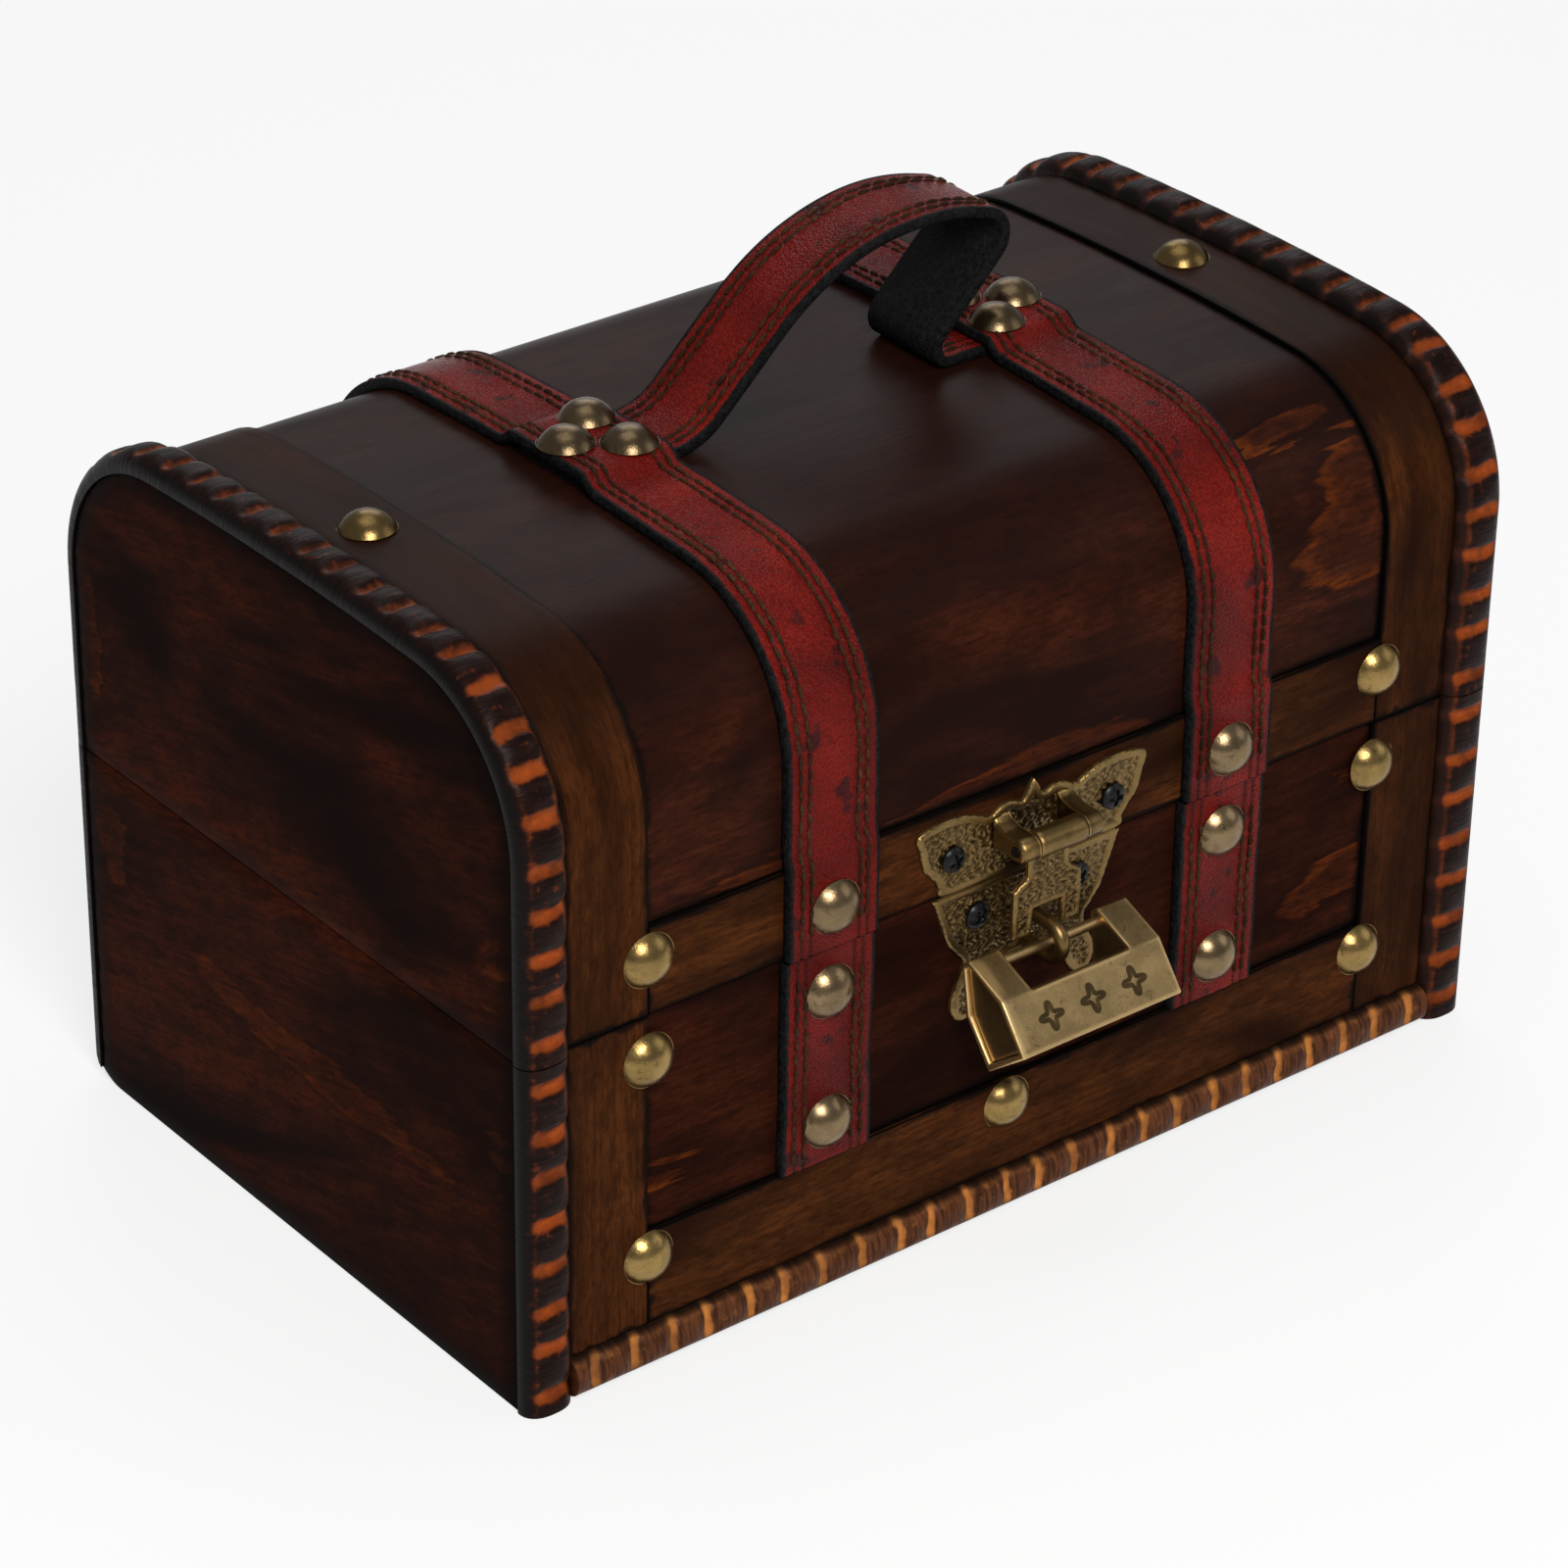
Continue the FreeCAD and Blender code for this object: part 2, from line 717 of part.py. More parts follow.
def make_handle():
    """Make the carrying handle: a leather strip that rises, folds back and tucks under the straps."""
    strip = new_body("LidHandle")
    lying = size(f"{LID_TOP} + handle_thickness / 2")
    edge = size(f"{STRAP_PLACE} - strap_width / 2")
    tuck = edge + size("handle_tuck")
    points = [
        (-tuck, lying),
        (-edge + size("handle_root_run"), lying),
        (size("handle_shoulder_place"), size(f"{LID_TOP} + handle_shoulder_rise")),
        (size("handle_apex_place"), size(f"{LID_TOP} + handle_rise")),
        (size("handle_fold_place"), size(f"{LID_TOP} + handle_fold_rise")),
        (size("handle_return_place"), lying),
        (tuck, lying),
    ]
    bend = size("handle_bend_radius")
    radii = [size("handle_root_radius"), bend, bend, size("handle_fold_radius"), size("handle_tuck_radius")]
    outline = bent_strip(points, radii, size("handle_thickness"))
    pad(strip, new_sketch(strip, "XZ_Plane", outline), "handle_width", symmetric=True)
    return strip


# Fasteners.

def even_points(centre, radius, sides):
    """Give the corners of a polygon of equal sides whose flats stand at a radius from its centre."""
    reach = radius / math.cos(math.pi / sides)
    angles = [2 * math.pi * (number + 0.5) / sides for number in range(sides)]
    return [(centre[0] + reach * math.cos(angle), centre[1] + reach * math.sin(angle)) for angle in angles]


def flat_face(points):
    """Give a flat face with corners in order."""
    return Part.Face(Part.makePolygon(points + points[:1]))


def faceted(rings):
    """Give a solid of flat facets between rings of as many corners, from the lowest to the highest."""
    faces = [flat_face(rings[0]), flat_face(rings[-1])]
    for low, high in zip(rings, rings[1:]):
        for number in range(len(low)):
            before = number - 1
            faces.append(flat_face([low[before], low[number], high[number], high[before]]))
    solid = Part.Solid(Part.Shell(faces))
    if solid.Volume < 0:
        solid.reverse()
    return solid


def make_nail():
    """Make a forged nail: a head hammered into a faceted dome, on a square shank."""
    radius = size("nail_head_radius")
    height = size("nail_head_height")
    sphere = (radius**2 + height**2) / (2 * height)
    rings = []
    for share in (0.0, 0.5, 0.85, 0.98):
        across = math.sqrt(sphere**2 - (sphere - height * (1 - share)) ** 2)
        corners = even_points((0, 0), across, 12)
        rings.append([FreeCAD.Vector(*corner, height * share) for corner in corners])
    width = size("nail_shank_width")
    length = size("nail_length")
    shank = Part.makeBox(width, width, length, FreeCAD.Vector(-width / 2, -width / 2, -length))
    nail = doc.addObject("Part::Feature", "Nail")
    nail.Shape = faceted(rings).fuse(shank).removeSplitter()
    return nail


def make_screw():
    """Make a screw: a flat-topped head on an eight-sided shank."""
    screw = new_body("Screw")
    head = new_sketch(screw, "XY_Plane", [circle((0, 0), size("screw_head_radius"))])
    pad(screw, head, "screw_head_height")
    corners = even_points((0, 0), size("screw_shank_radius"), 8)
    shank = new_sketch(screw, "XY_Plane", polygon(corners))
    pad(screw, shank, "screw_length", backward=True)
    return screw


def front_seats(places, out):
    """Give seats on the front, at places across and up, a distance out from the middle."""
    outward = FreeCAD.Vector(0, -1, 0)
    return [(FreeCAD.Vector(across, -out, up), outward) for across, up in places]


def back_seats(places, out):
    """Give seats on the back, at places across and up, a distance out from the middle."""
    outward = FreeCAD.Vector(0, 1, 0)
    return [(FreeCAD.Vector(across, out, up), outward) for across, up in places]


def top_seats(places, offset):
    """Give seats on the domed top, at places along and across, at an offset from the shell."""
    seats = []
    for along, across in places:
        height = dome_point(across, offset)[1]
        seats.append((FreeCAD.Vector(along, across, height), dome_normal(across)))
    return seats


def pairs(expression):
    """Give an expression's size to the left and to the right."""
    return [-size(expression), size(expression)]


def fastener_seats():
    """Give the seats of every group of nails and screws."""
    band_face = size(f"{FACE} + band_thickness")
    strap_face = size(f"{FACE} + strap_thickness")
    high = size("base_height - nail_below_rim")
    low = size("bottom_trim_height + nail_above_trim")
    seams = pairs(BAND_INNER)
    straps = pairs(STRAP_PLACE)
    base_bands = [(across, high) for across in seams] + [(across, low) for across in seams]
    base_bands.append((size("middle_nail_shift"), low))
    strap_high = size("base_height - strap_nail_below_rim")
    strap_low = size(f"{STRAP_LOW} + strap_nail_above_end")
    base_straps = [(across, up) for across in straps for up in (strap_high, strap_low)]
    lid_edge = size(f"{LID_LOW} + nail_above_lid_edge")
    strap_edge = size(f"{LID_LOW} + strap_nail_above_edge")
    band_middles = pairs(f"({TRIM_INNER} - band_width / 2)")
    handle = []
    for side in (-1, 1):
        inner = side * size(f"{STRAP_PLACE} - handle_nail_inner")
        outer = side * size(f"{STRAP_PLACE} + handle_nail_outer")
        beside = size("handle_nail_side")
        handle += [(inner, -beside), (inner, beside), (outer, 0.0)]
    handle_face = size("handle_thickness + seat_gap + strap_thickness")
    strap_front = size(f"{FACE} + band_thickness + strap_thickness")
    upper = [(across, size(f"{LID_LOW} + upper_screw_rise")) for across in pairs("upper_screw_place")]
    lower = [(across, size("base_height - lower_screw_drop")) for across in pairs("lower_screw_place")]
    lid_bands = front_seats([(across, lid_edge) for across in seams], band_face)
    lid_bands += top_seats([(along, 0.0) for along in band_middles], size("band_thickness"))
    lid_straps = front_seats([(across, strap_edge) for across in straps], strap_front)
    lid_straps += back_seats([(across, strap_edge) for across in straps], strap_face)
    return {
        "base_band_nails": front_seats(base_bands, band_face),
        "base_strap_nails": front_seats(base_straps, strap_face),
        "lid_band_nails": lid_bands,
        "lid_strap_nails": lid_straps,
        "handle_nails": top_seats(handle, handle_face),
        "hasp_upper_screws": front_seats(upper, size(UPPER_FACE)),
        "hasp_lower_screws": front_seats(lower, size(f"{FACE} + plate_thickness")),
    }


def make_fasteners(seats):
    """Make each kind of fastener once and stand a copy on every seat of its groups."""
    nail = make_nail()
    screw = make_screw()
    for label, places in seats.items():
        kind = screw if label.endswith("screws") else nail
        keep_group(label, [aligned(kind.Shape, seat, outward) for seat, outward in places])


def shank_bit(group):
    """Give the shape that clears the shanks of a group, square for nails and eight-sided for screws."""
    if group.endswith("screws"):
        depth = size("screw_length + nail_fit")
        radius = size("screw_shank_radius + nail_fit")
        corners = even_points((0, 0), radius, 8)
        return faceted([[FreeCAD.Vector(*corner, end) for corner in corners] for end in (-depth, depth)])
    depth = size("nail_length + nail_fit")
    half = size("nail_shank_width / 2 + nail_fit")
    return Part.makeBox(2 * half, 2 * half, 2 * depth, FreeCAD.Vector(-half, -half, -depth))


def drill_for(label, blank, seats, groups):
    """Cut a piece for the shanks of some groups and keep it under its name."""
    piece = blank
    for group in groups:
        piece = drilled(f"{label}_{group}", piece, seats[group], shank_bit(group))
    return keep(label, piece)


# Hasp.

def make_upper_plate():
    """Make the upper butterfly plate: fore wings, a pointed head and two ears for the flap's pin."""
    plate = new_body("HaspUpperPlate")
    low = size(f"{LID_LOW} + plate_split_gap")
    lid = size(LID_LOW)
    tip = (size("wing_span / 2"), lid + size("wing_height"))
    crest = lid + size("wing_crest")
    head = lid + size("head_height")
    notch = (tip[0] * 0.38, lid + size("wing_height - notch_drop"))
    neck = (tip[0] * 0.1, notch[1] + size("neck_rise"))
    waist = (tip[0] * 0.92, low + size("wing_height") * 0.44)
    foot = (size("hind_span / 2 - fork_bulge"), low)
    right = [
        line((0, head), neck),
        bulge(neck, notch, size("brow_bulge")),
        bulge(notch, (tip[0] * 0.78, crest), size("wing_bulge")),
        line((tip[0] * 0.78, crest), tip),
        line(tip, waist),
        bulge(waist, foot, -size("edge_bulge")),
        line(foot, (0, low)),
    ]
    outline = new_sketch(plate, "XZ_Plane", mirrored_pair(right), f"{FACE} + band_thickness")
    pad(plate, outline, "plate_thickness")
    axis = (-size(BARREL_OUT), size(BARREL_HIGH))
    radius = size("barrel_radius")
    face = -size(f"{UPPER_FACE} - plate_thickness / 2")
    root = size("ear_root_height / 2")
    ear = [
        line((face, axis[1] + root), (axis[0], axis[1] + radius)),
        arc((axis[0], axis[1] + radius), (axis[0] - radius, axis[1]), (axis[0], axis[1] - radius)),
        line((axis[0], axis[1] - radius), (face, axis[1] - root)),
        line((face, axis[1] - root), (face, axis[1] + root)),
    ]
    for place in ("-ear_outer", "ear_inner"):
        pad(plate, new_sketch(plate, "YZ_Plane", ear, place), "ear_outer - ear_inner")
    cut_through(plate, new_sketch(plate, "YZ_Plane", [circle(axis, size("pin_radius"))]))
    return plate


def mirrored_pair(right):
    """Give the edges of a half outline together with their mirror images about the upright axis."""
    left = []
    for curve in right:
        left.append(curve.copy())
        left[-1].mirror(FreeCAD.Vector(0, 0, 0), FreeCAD.Vector(0, 1, 0))
    return right + left


def make_lower_plate():
    """Make the lower butterfly plate: hind wings with ears and two rounded tails."""
    plate = new_body("HaspLowerPlate")
    high = size("base_height - plate_split_gap")
    rim = size("base_height")
    hind = size("hind_span / 2")
    tail = size("tail_span / 2")
    end = rim - size("tail_height")
    waist = (size("hind_span / 2") * 0.69, rim - size("hind_waist"))
    lobe = (tail, end + size("tail_height") * 0.2)
    crotch = size(f"{RING_HIGH} - ring_radius - wire_radius - fork_land")
    fork = (tail * 0.3, crotch - size("tail_height") * 0.03)
    right = [
        line((0, high), (hind, high)),
        line((hind, high), (hind * 0.9, rim - size("hind_waist") * 0.45)),
        line((hind * 0.9, rim - size("hind_waist") * 0.45), waist),
        bulge(waist, lobe, -size("edge_bulge")),
        bulge(lobe, (tail * 0.8, end), -size("lobe_bulge")),
        bulge((tail * 0.8, end), fork, -size("tail_bulge")),
        bulge(fork, (0, crotch), size("fork_bulge")),
    ]
    outline = new_sketch(plate, "XZ_Plane", mirrored_pair(right), FACE)
    pad(plate, outline, "plate_thickness")
    feet = []
    for up in (size(f"{RING_HIGH} + ring_radius"), size(f"{RING_HIGH} - ring_radius")):
        feet += polygon(even_points((0, up), size("wire_radius"), 8))
    cut_through(plate, new_sketch(plate, "XZ_Plane", feet))
    return plate


def make_staple():
    """Make the ring staple: eight-sided wire bent into a loop, with its feet in the lower plate."""
    staple = new_body("hasp_staple")
    high = size(f"{RING_HIGH} + ring_radius")
    low = size(f"{RING_HIGH} - ring_radius")
    for up in (high, low):
        foot = new_sketch(staple, "XZ_Plane", polygon(even_points((0, up), size("wire_radius"), 8)), FACE)
        pad(staple, foot, REACH)
    loop = polygon(even_points((0, size("ring_radius")), size("wire_radius"), 8))
    sketch = new_sketch(staple, "XZ_Plane", loop, f"{FACE} + {REACH}", size(RING_HIGH))
    turn(staple, sketch, 180.0)
    return keep("hasp_staple", staple)


def make_flap():
    """Make the hasp's flap: a barrel on the pin and a fork that straddles the ring staple."""
    flap = new_body("hasp_flap")
    axis = (-size(BARREL_OUT), size(BARREL_HIGH))
    barrel = [circle(axis, size("barrel_radius"))]
    pad(flap, new_sketch(flap, "YZ_Plane", barrel), "2 * (ear_inner - barrel_play)", symmetric=True)
    neck = size("flap_neck")
    half = size("flap_half_width")
    slot = size("slot_half_width")
    shoulder = axis[1] - size("flap_shoulder_drop")
    slope = shoulder + size("flap_shoulder_slope")
    low = axis[1] - size("flap_length")
    top = axis[1] - size("slot_top_drop")
    right = [
        line((0, axis[1]), (neck, axis[1])),
        line((neck, axis[1]), (neck, slope)),
        line((neck, slope), (half, shoulder)),
        line((half, shoulder), (half, low)),
        line((half, low), (slot, low)),
        line((slot, low), (slot, top)),
        line((slot, top), (0, top)),
    ]
    face = f"{BARREL_OUT} - barrel_radius"
    pad(flap, new_sketch(flap, "XZ_Plane", mirrored_pair(right), face), "flap_thickness")
    bore = [circle(axis, size("pin_radius + pin_fit"))]
    cut_through(flap, new_sketch(flap, "YZ_Plane", bore))
    return keep("hasp_flap", flap)


def make_hasp_pin():
    """Make the pin through the ears and the barrel."""
    pin = doc.addObject("Part::Cylinder", "hasp_pin")
    pin.setExpression("Radius", bound("pin_radius"))
    pin.setExpression("Height", bound("2 * ear_outer"))
    place = FreeCAD.Vector(-size("ear_outer"), -size(BARREL_OUT), size(BARREL_HIGH))
    pin.Placement = FreeCAD.Placement(place, FreeCAD.Rotation(FreeCAD.Vector(0, 1, 0), 90))
    return keep("hasp_pin", pin)


# Hinges.

def make_leaf(name, spans, side, bore):
    """Make one hinge leaf: a plate with tabs up to the axis, rolled into knuckles round the pin."""
    leaf = new_body(name)
    half = f"({HINGE_WIDTH} / 2)"
    face = f"-({FACE} + leaf_thickness)"
    sign = "+" if side > 0 else "-"
    near = f"({PIVOT_RISE} {sign} (knuckle_radius + knuckle_clearance))"
    far = f"({PIVOT_RISE} {sign} leaf_height)"
    low, high = (near, far) if side > 0 else (far, near)
    pad(leaf, rectangle_sketch(leaf, "XZ_Plane", f"-{half}", half, low, high, face), "leaf_thickness")
    axis = (size(f"{FACE} + {PIVOT_OUT}"), size(PIVOT_RISE))
    low, high = (PIVOT_RISE, near) if side > 0 else (near, PIVOT_RISE)
    for start, end in spans:
        pad(leaf, rectangle_sketch(leaf, "XZ_Plane", start, end, low, high, face), "leaf_thickness")
        knuckle = new_sketch(leaf, "YZ_Plane", [circle(axis, size("knuckle_radius"))], start)
        pad(leaf, knuckle, f"{end} - ({start})")
    cut_through(leaf, new_sketch(leaf, "YZ_Plane", [circle(axis, bore)]))
    return leaf


def shifted(shape, along):
    """Give a copy of a shape moved along the box."""
    copy = shape.copy()
    copy.translate(FreeCAD.Vector(along, 0, 0))
    return copy


def make_hinges():
    """Make the leaves and pins of the two hinges: two knuckles on the base leaf, one on the lid's."""
    half = f"({HINGE_WIDTH} / 2)"
    inner = f"({HINGE_WIDTH} / 6 + knuckle_play / 2)"
    middle = f"({HINGE_WIDTH} / 6 - knuckle_play / 2)"
    places = pairs(HINGE_PLACE)
    tight = size("hinge_pin_radius")
    loose = size("hinge_pin_radius + pin_fit")
    lower = make_leaf("LowerLeaf", [(f"-{half}", f"-{inner}"), (inner, half)], -1, tight)
    upper = make_leaf("UpperLeaf", [(f"-{middle}", middle)], 1, loose)
    axis = FreeCAD.Vector(-size(half), size(f"{FACE} + {PIVOT_OUT}"), size(PIVOT_RISE))
    pin = Part.makeCylinder(tight, size(HINGE_WIDTH), axis, FreeCAD.Vector(1, 0, 0))
    pieces = {"hinge_lower_leaves": lower.Shape, "hinge_upper_leaves": upper.Shape, "hinge_pins": pin}
    for label, shape in pieces.items():
        keep_group(label, [shifted(shape, place) for place in places])


# Padlock, drawn upright about its bar and then swung out to the angle at which it hangs.

def lock_outline(inset):
    """Give the house-shaped section of the padlock, drawn in by an inset."""
    half = size("lock_depth / 2") - inset
    slope = math.hypot(size("lock_depth / 2 - lock_ridge_width / 2"), size("lock_ridge_rise + lock_eave_drop"))
    lean = size("lock_depth / 2 - lock_ridge_width / 2") / size("lock_ridge_rise + lock_eave_drop")
    ridge = size("lock_ridge_rise") - inset
    eave = -size("lock_eave_drop")
    normal_in = inset * slope / size("lock_ridge_rise + lock_eave_drop")
    roof_half = size("lock_ridge_width / 2") + inset * lean - normal_in
    eave_low = eave - (normal_in - inset) / lean
    base = -size("lock_base_drop") + inset
    right = [(roof_half, ridge), (half, eave_low), (half, base)]
    return polygon(mirrored(right) + right)


def hang(piece):
    """Swing a padlock piece out about the bar's axis to the angle at which it hangs."""
    place = FreeCAD.Vector(0, -size(BAR_OUT), size(BAR_HIGH))
    turn = FreeCAD.Rotation(FreeCAD.Vector(1, 0, 0), -size("lock_tilt"))
    piece.Placement = FreeCAD.Placement(place, turn)
    return piece


def make_lock_body():
    """Make the padlock's body: a house-shaped bar of brass with a notch, a chamber and a keyhole."""
    lock = new_body("padlock_body")
    half = "(lock_length / 2)"
    notch = "(lock_notch_length / 2)"
    pad(lock, new_sketch(lock, "YZ_Plane", lock_outline(0)), "lock_length", symmetric=True)
    gap = rectangle_sketch(lock, "XZ_Plane", f"-{notch}", notch, "-lock_eave_drop", "2 * lock_ridge_rise")
    cut_through(lock, gap)
    seat = f"-({half} - lock_recess - end_plate_thickness)"
    recess = new_sketch(lock, "YZ_Plane", lock_outline(size("lock_rim")), seat)
    cut_deep(lock, recess, "lock_recess + end_plate_thickness")
    bore = [circle((0, 0), size("bar_radius + bar_fit"))]
    tip = f"({notch} + bar_engagement + bar_fit)"
    cut_deep(lock, new_sketch(lock, "YZ_Plane", bore, tip), "lock_length")
    room = "(chamber_size / 2)"
    chamber = rectangle_sketch(
        lock,
        "YZ_Plane",
        f"-{room}",
        room,
        f"-chamber_drop - {room}",
        f"-chamber_drop + {room}",
        f"{half} - lock_end_wall",
    )
    cut_deep(lock, chamber, "lock_length")
    key_half = "(keyhole_width / 2)"
    key_rise = "(keyhole_height / 2)"
    key = rectangle_sketch(
        lock,
        "YZ_Plane",
        f"-{key_half}",
        key_half,
        f"-chamber_drop - {key_rise}",
        f"-chamber_drop + {key_rise}",
        half,
    )
    cut_deep(lock, key, "lock_end_wall")
    return keep("padlock_body", hang(lock))


def make_shackle():
    """Make the sliding shackle: the end plate, the bar, the spring rod and its two leaf springs."""
    plate = new_body("padlock_end_plate")
    seat = "-(lock_length / 2 - lock_recess)"
    inset = size("lock_rim + slide_fit")
    pad(plate, new_sketch(plate, "YZ_Plane", lock_outline(inset), seat), "end_plate_thickness")
    keep("padlock_end_plate", hang(plate))
    bar = new_body("padlock_bar")
    root = "-(lock_length / 2 - lock_recess - end_plate_thickness)"
    length = "lock_length / 2 - lock_recess - end_plate_thickness + lock_notch_length / 2 + bar_engagement"
    pad(bar, new_sketch(bar, "YZ_Plane", [circle((0, 0), size("bar_radius"))], root), length)
    keep("padlock_bar", hang(bar))
    drop = -size("chamber_drop")
    rod = new_body("padlock_spring_rod")
    pad(rod, new_sketch(rod, "YZ_Plane", [circle((0, drop), size("rod_radius"))], root), "rod_length")
    keep("padlock_spring_rod", hang(rod))
    springs = new_body("SpringLeaf")
    tip = size(f"{root} + rod_length")
    start = size("rod_radius")
    thick = size("spring_thickness")
    run = tip - size("spring_length")
    flare = start + size("spring_flare")
    leaf = [(tip, start), (tip, start + thick), (run, flare + thick), (run, flare)]
    pad(springs, new_sketch(springs, "XY_Plane", polygon(leaf), "-chamber_drop"), "spring_width", symmetric=True)
    upper = springs.Shape.copy()
    lower = upper.mirror(FreeCAD.Vector(0, 0, 0), FreeCAD.Vector(0, 1, 0))
    hang(keep_group("padlock_springs", [upper, lower]))


def make_base(seats):
    """Make the base: boards, bands, trims, leather and hardware."""
    front, back = make_base_boards()
    drill_for("base_front_panel", front, seats, ["base_band_nails", "base_strap_nails", "hasp_lower_screws"])
    keep("base_back_panel", back)
    sides = {"left": -1, "right": 1}
    for name, side in sides.items():
        edges = (f"-{TRIM_INNER}", f"-{BAND_INNER}") if side < 0 else (BAND_INNER, TRIM_INNER)
        blank = front_strip(
            f"Base{name}Band", *edges, "bottom_trim_height", "base_height", "band_thickness"
        )
        drill_for(f"base_{name}_band", blank, seats, ["base_band_nails"])
        make_upright_trim(f"base_{name}_front_trim", side, -1)
        make_upright_trim(f"base_{name}_back_trim", side, 1)
        middle = f"{'-' if side < 0 else ''}{STRAP_PLACE}"
        blank = front_strip(
            f"Base{name}Strap",
            f"{middle} - strap_width / 2",
            f"{middle} + strap_width / 2",
            STRAP_LOW,
            "base_height - leather_gap",
            "strap_thickness",
        )
        drill_for(f"base_{name}_strap", blank, seats, ["base_strap_nails"])
    blank = front_strip(
        "BaseBottomBand", f"-{BAND_INNER}", BAND_INNER, "bottom_trim_height", BAND_TOP, "band_thickness"
    )
    drill_for("base_bottom_band", blank, seats, ["base_band_nails"])
    make_bottom_trim()
    drill_for("hasp_lower_plate", make_lower_plate(), seats, ["hasp_lower_screws"])
    make_staple()


def make_lid(seats):
    """Make the lid: boards, bands, trims, leather and hardware."""
    groups = ["lid_band_nails", "lid_strap_nails", "handle_nails", "hasp_upper_screws"]
    drill_for("lid_shell", make_lid_boards(), seats, groups)
    sides = {"left": -1, "right": 1}
    for name, side in sides.items():
        edge = f"-{TRIM_INNER}" if side < 0 else BAND_INNER
        drill_for(f"lid_{name}_band", make_lid_band(f"Lid{name}Band", edge), seats, ["lid_band_nails"])
        make_lid_trim(f"lid_{name}_trim", side)
        place = f"{'-' if side < 0 else ''}{STRAP_PLACE} - strap_width / 2"
        strap = make_lid_strap(f"Lid{name}Strap", place)
        drill_for(f"lid_{name}_strap", strap, seats, ["lid_strap_nails", "handle_nails"])
    high = f"{LID_LOW} + lid_band_height"
    blank = front_strip("LidFrontBand", f"-{BAND_INNER}", BAND_INNER, LID_LOW, high, "band_thickness")
    drill_for("lid_front_band", blank, seats, ["lid_band_nails", "lid_strap_nails", "hasp_upper_screws"])
    drill_for("lid_handle", make_handle(), seats, ["handle_nails"])
    drill_for("hasp_upper_plate", make_upper_plate(), seats, ["hasp_upper_screws"])
    make_hasp_pin()


def write_parts():
    """Check every object and write each node's shape to its own file."""
    doc.recompute()
    for item in doc.Objects:
        if {"Invalid", "Error"} & set(item.State):
            raise ValueError(f"{item.Name} failed: {item.State}")
    for label, piece in nodes.items():
        shape = piece.Shape
        if shape.isNull() or not shape.isValid() or not shape.Solids:
            raise ValueError(f"{label} has no valid solid")
        shape.exportStep(f"parts/{label}.step")
    print(f"{len(nodes)} nodes written")


seats = fastener_seats()
make_base(seats)
make_lid(seats)
make_flap()
make_hinges()
make_lock_body()
make_shackle()
make_fasteners(seats)
write_parts()
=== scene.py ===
import math
import random

import bmesh
import bpy
import numpy as np
from mathutils import Matrix, Vector, noise
from mathutils.geometry import delaunay_2d_cdt


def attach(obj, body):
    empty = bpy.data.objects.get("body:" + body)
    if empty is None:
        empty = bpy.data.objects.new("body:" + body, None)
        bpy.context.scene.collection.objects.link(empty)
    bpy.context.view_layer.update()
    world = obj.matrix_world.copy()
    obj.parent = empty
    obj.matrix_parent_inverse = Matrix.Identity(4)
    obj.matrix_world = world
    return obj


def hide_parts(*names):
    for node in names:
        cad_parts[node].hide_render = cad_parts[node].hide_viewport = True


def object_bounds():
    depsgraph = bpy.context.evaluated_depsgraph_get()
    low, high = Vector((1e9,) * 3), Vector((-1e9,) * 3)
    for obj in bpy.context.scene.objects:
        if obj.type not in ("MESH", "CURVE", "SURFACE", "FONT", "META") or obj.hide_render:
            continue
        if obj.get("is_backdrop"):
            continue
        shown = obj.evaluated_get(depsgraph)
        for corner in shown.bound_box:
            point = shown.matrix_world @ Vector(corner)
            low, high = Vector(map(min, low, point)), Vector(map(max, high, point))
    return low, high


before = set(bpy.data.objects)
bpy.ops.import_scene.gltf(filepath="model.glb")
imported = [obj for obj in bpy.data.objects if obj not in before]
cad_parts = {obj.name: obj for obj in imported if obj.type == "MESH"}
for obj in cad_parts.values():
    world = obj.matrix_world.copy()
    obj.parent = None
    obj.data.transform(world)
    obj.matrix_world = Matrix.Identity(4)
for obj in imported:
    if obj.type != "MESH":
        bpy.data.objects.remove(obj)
cad_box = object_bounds()

MM = 0.001
TINY = 1e-6
SIDES = ((-1, "left"), (1, "right"))
FRONT, BACK = (0, -1, 0), (0, 1, 0)

# The object's sizes in millimetres, as in the part's source.
HALF = 110.0  # half the box's length
FACE = 66.0  # the front and back, from the middle
BASE = 70.0  # the base's height
LID = 70.3  # the lid's low edge
TOP = 135.3  # the top of the dome
CORNER = 27.5  # the radius of the arch's corners
DOME = 800.0  # the radius of the arch's top
INNER = 102.0  # the inside of the ends
END_T = HALF - INNER
PANEL_T = 6.0
SHELL_T = 5.0
FLOOR_T = 5.0
TRIM_IN = 100.0  # the trims' inner edge
TRIM_T = 4.0
BOTTOM_TRIM = 7.5  # the height of the front's bottom trim
FOOT = 10.0  # the radius of the rounded back foot
BAND_IN = 83.0  # the bands' inner edge
BAND_T = 1.0
BAND_TOP = 26.5  # the top of the base's low band
LOW_BAND = 17.0  # the height of the lid's low band
STRAP_X = 45.0
STRAP_W = 19.5
STRAP_T = 2.2
HANDLE_W = 19.0
HANDLE_T = 2.2
HANDLE_LIFT = HANDLE_T + 0.1  # how far the straps rise over the handle's ends
UNDERSIDE = 9.0  # a rim distance that keeps inner faces unburnt

# Blacks of the wood.
PORE = (0.004, 0.002, 0.0015)
BURNT = (0.005, 0.003, 0.0024)
# The seams' black: partly a dark joint, partly painted shadow.
JOINT_SHADOW_BLACK = (0.0025, 0.0020, 0.0018)
SCORCHED = (0.0045, 0.0034, 0.0030)


# Shader building.

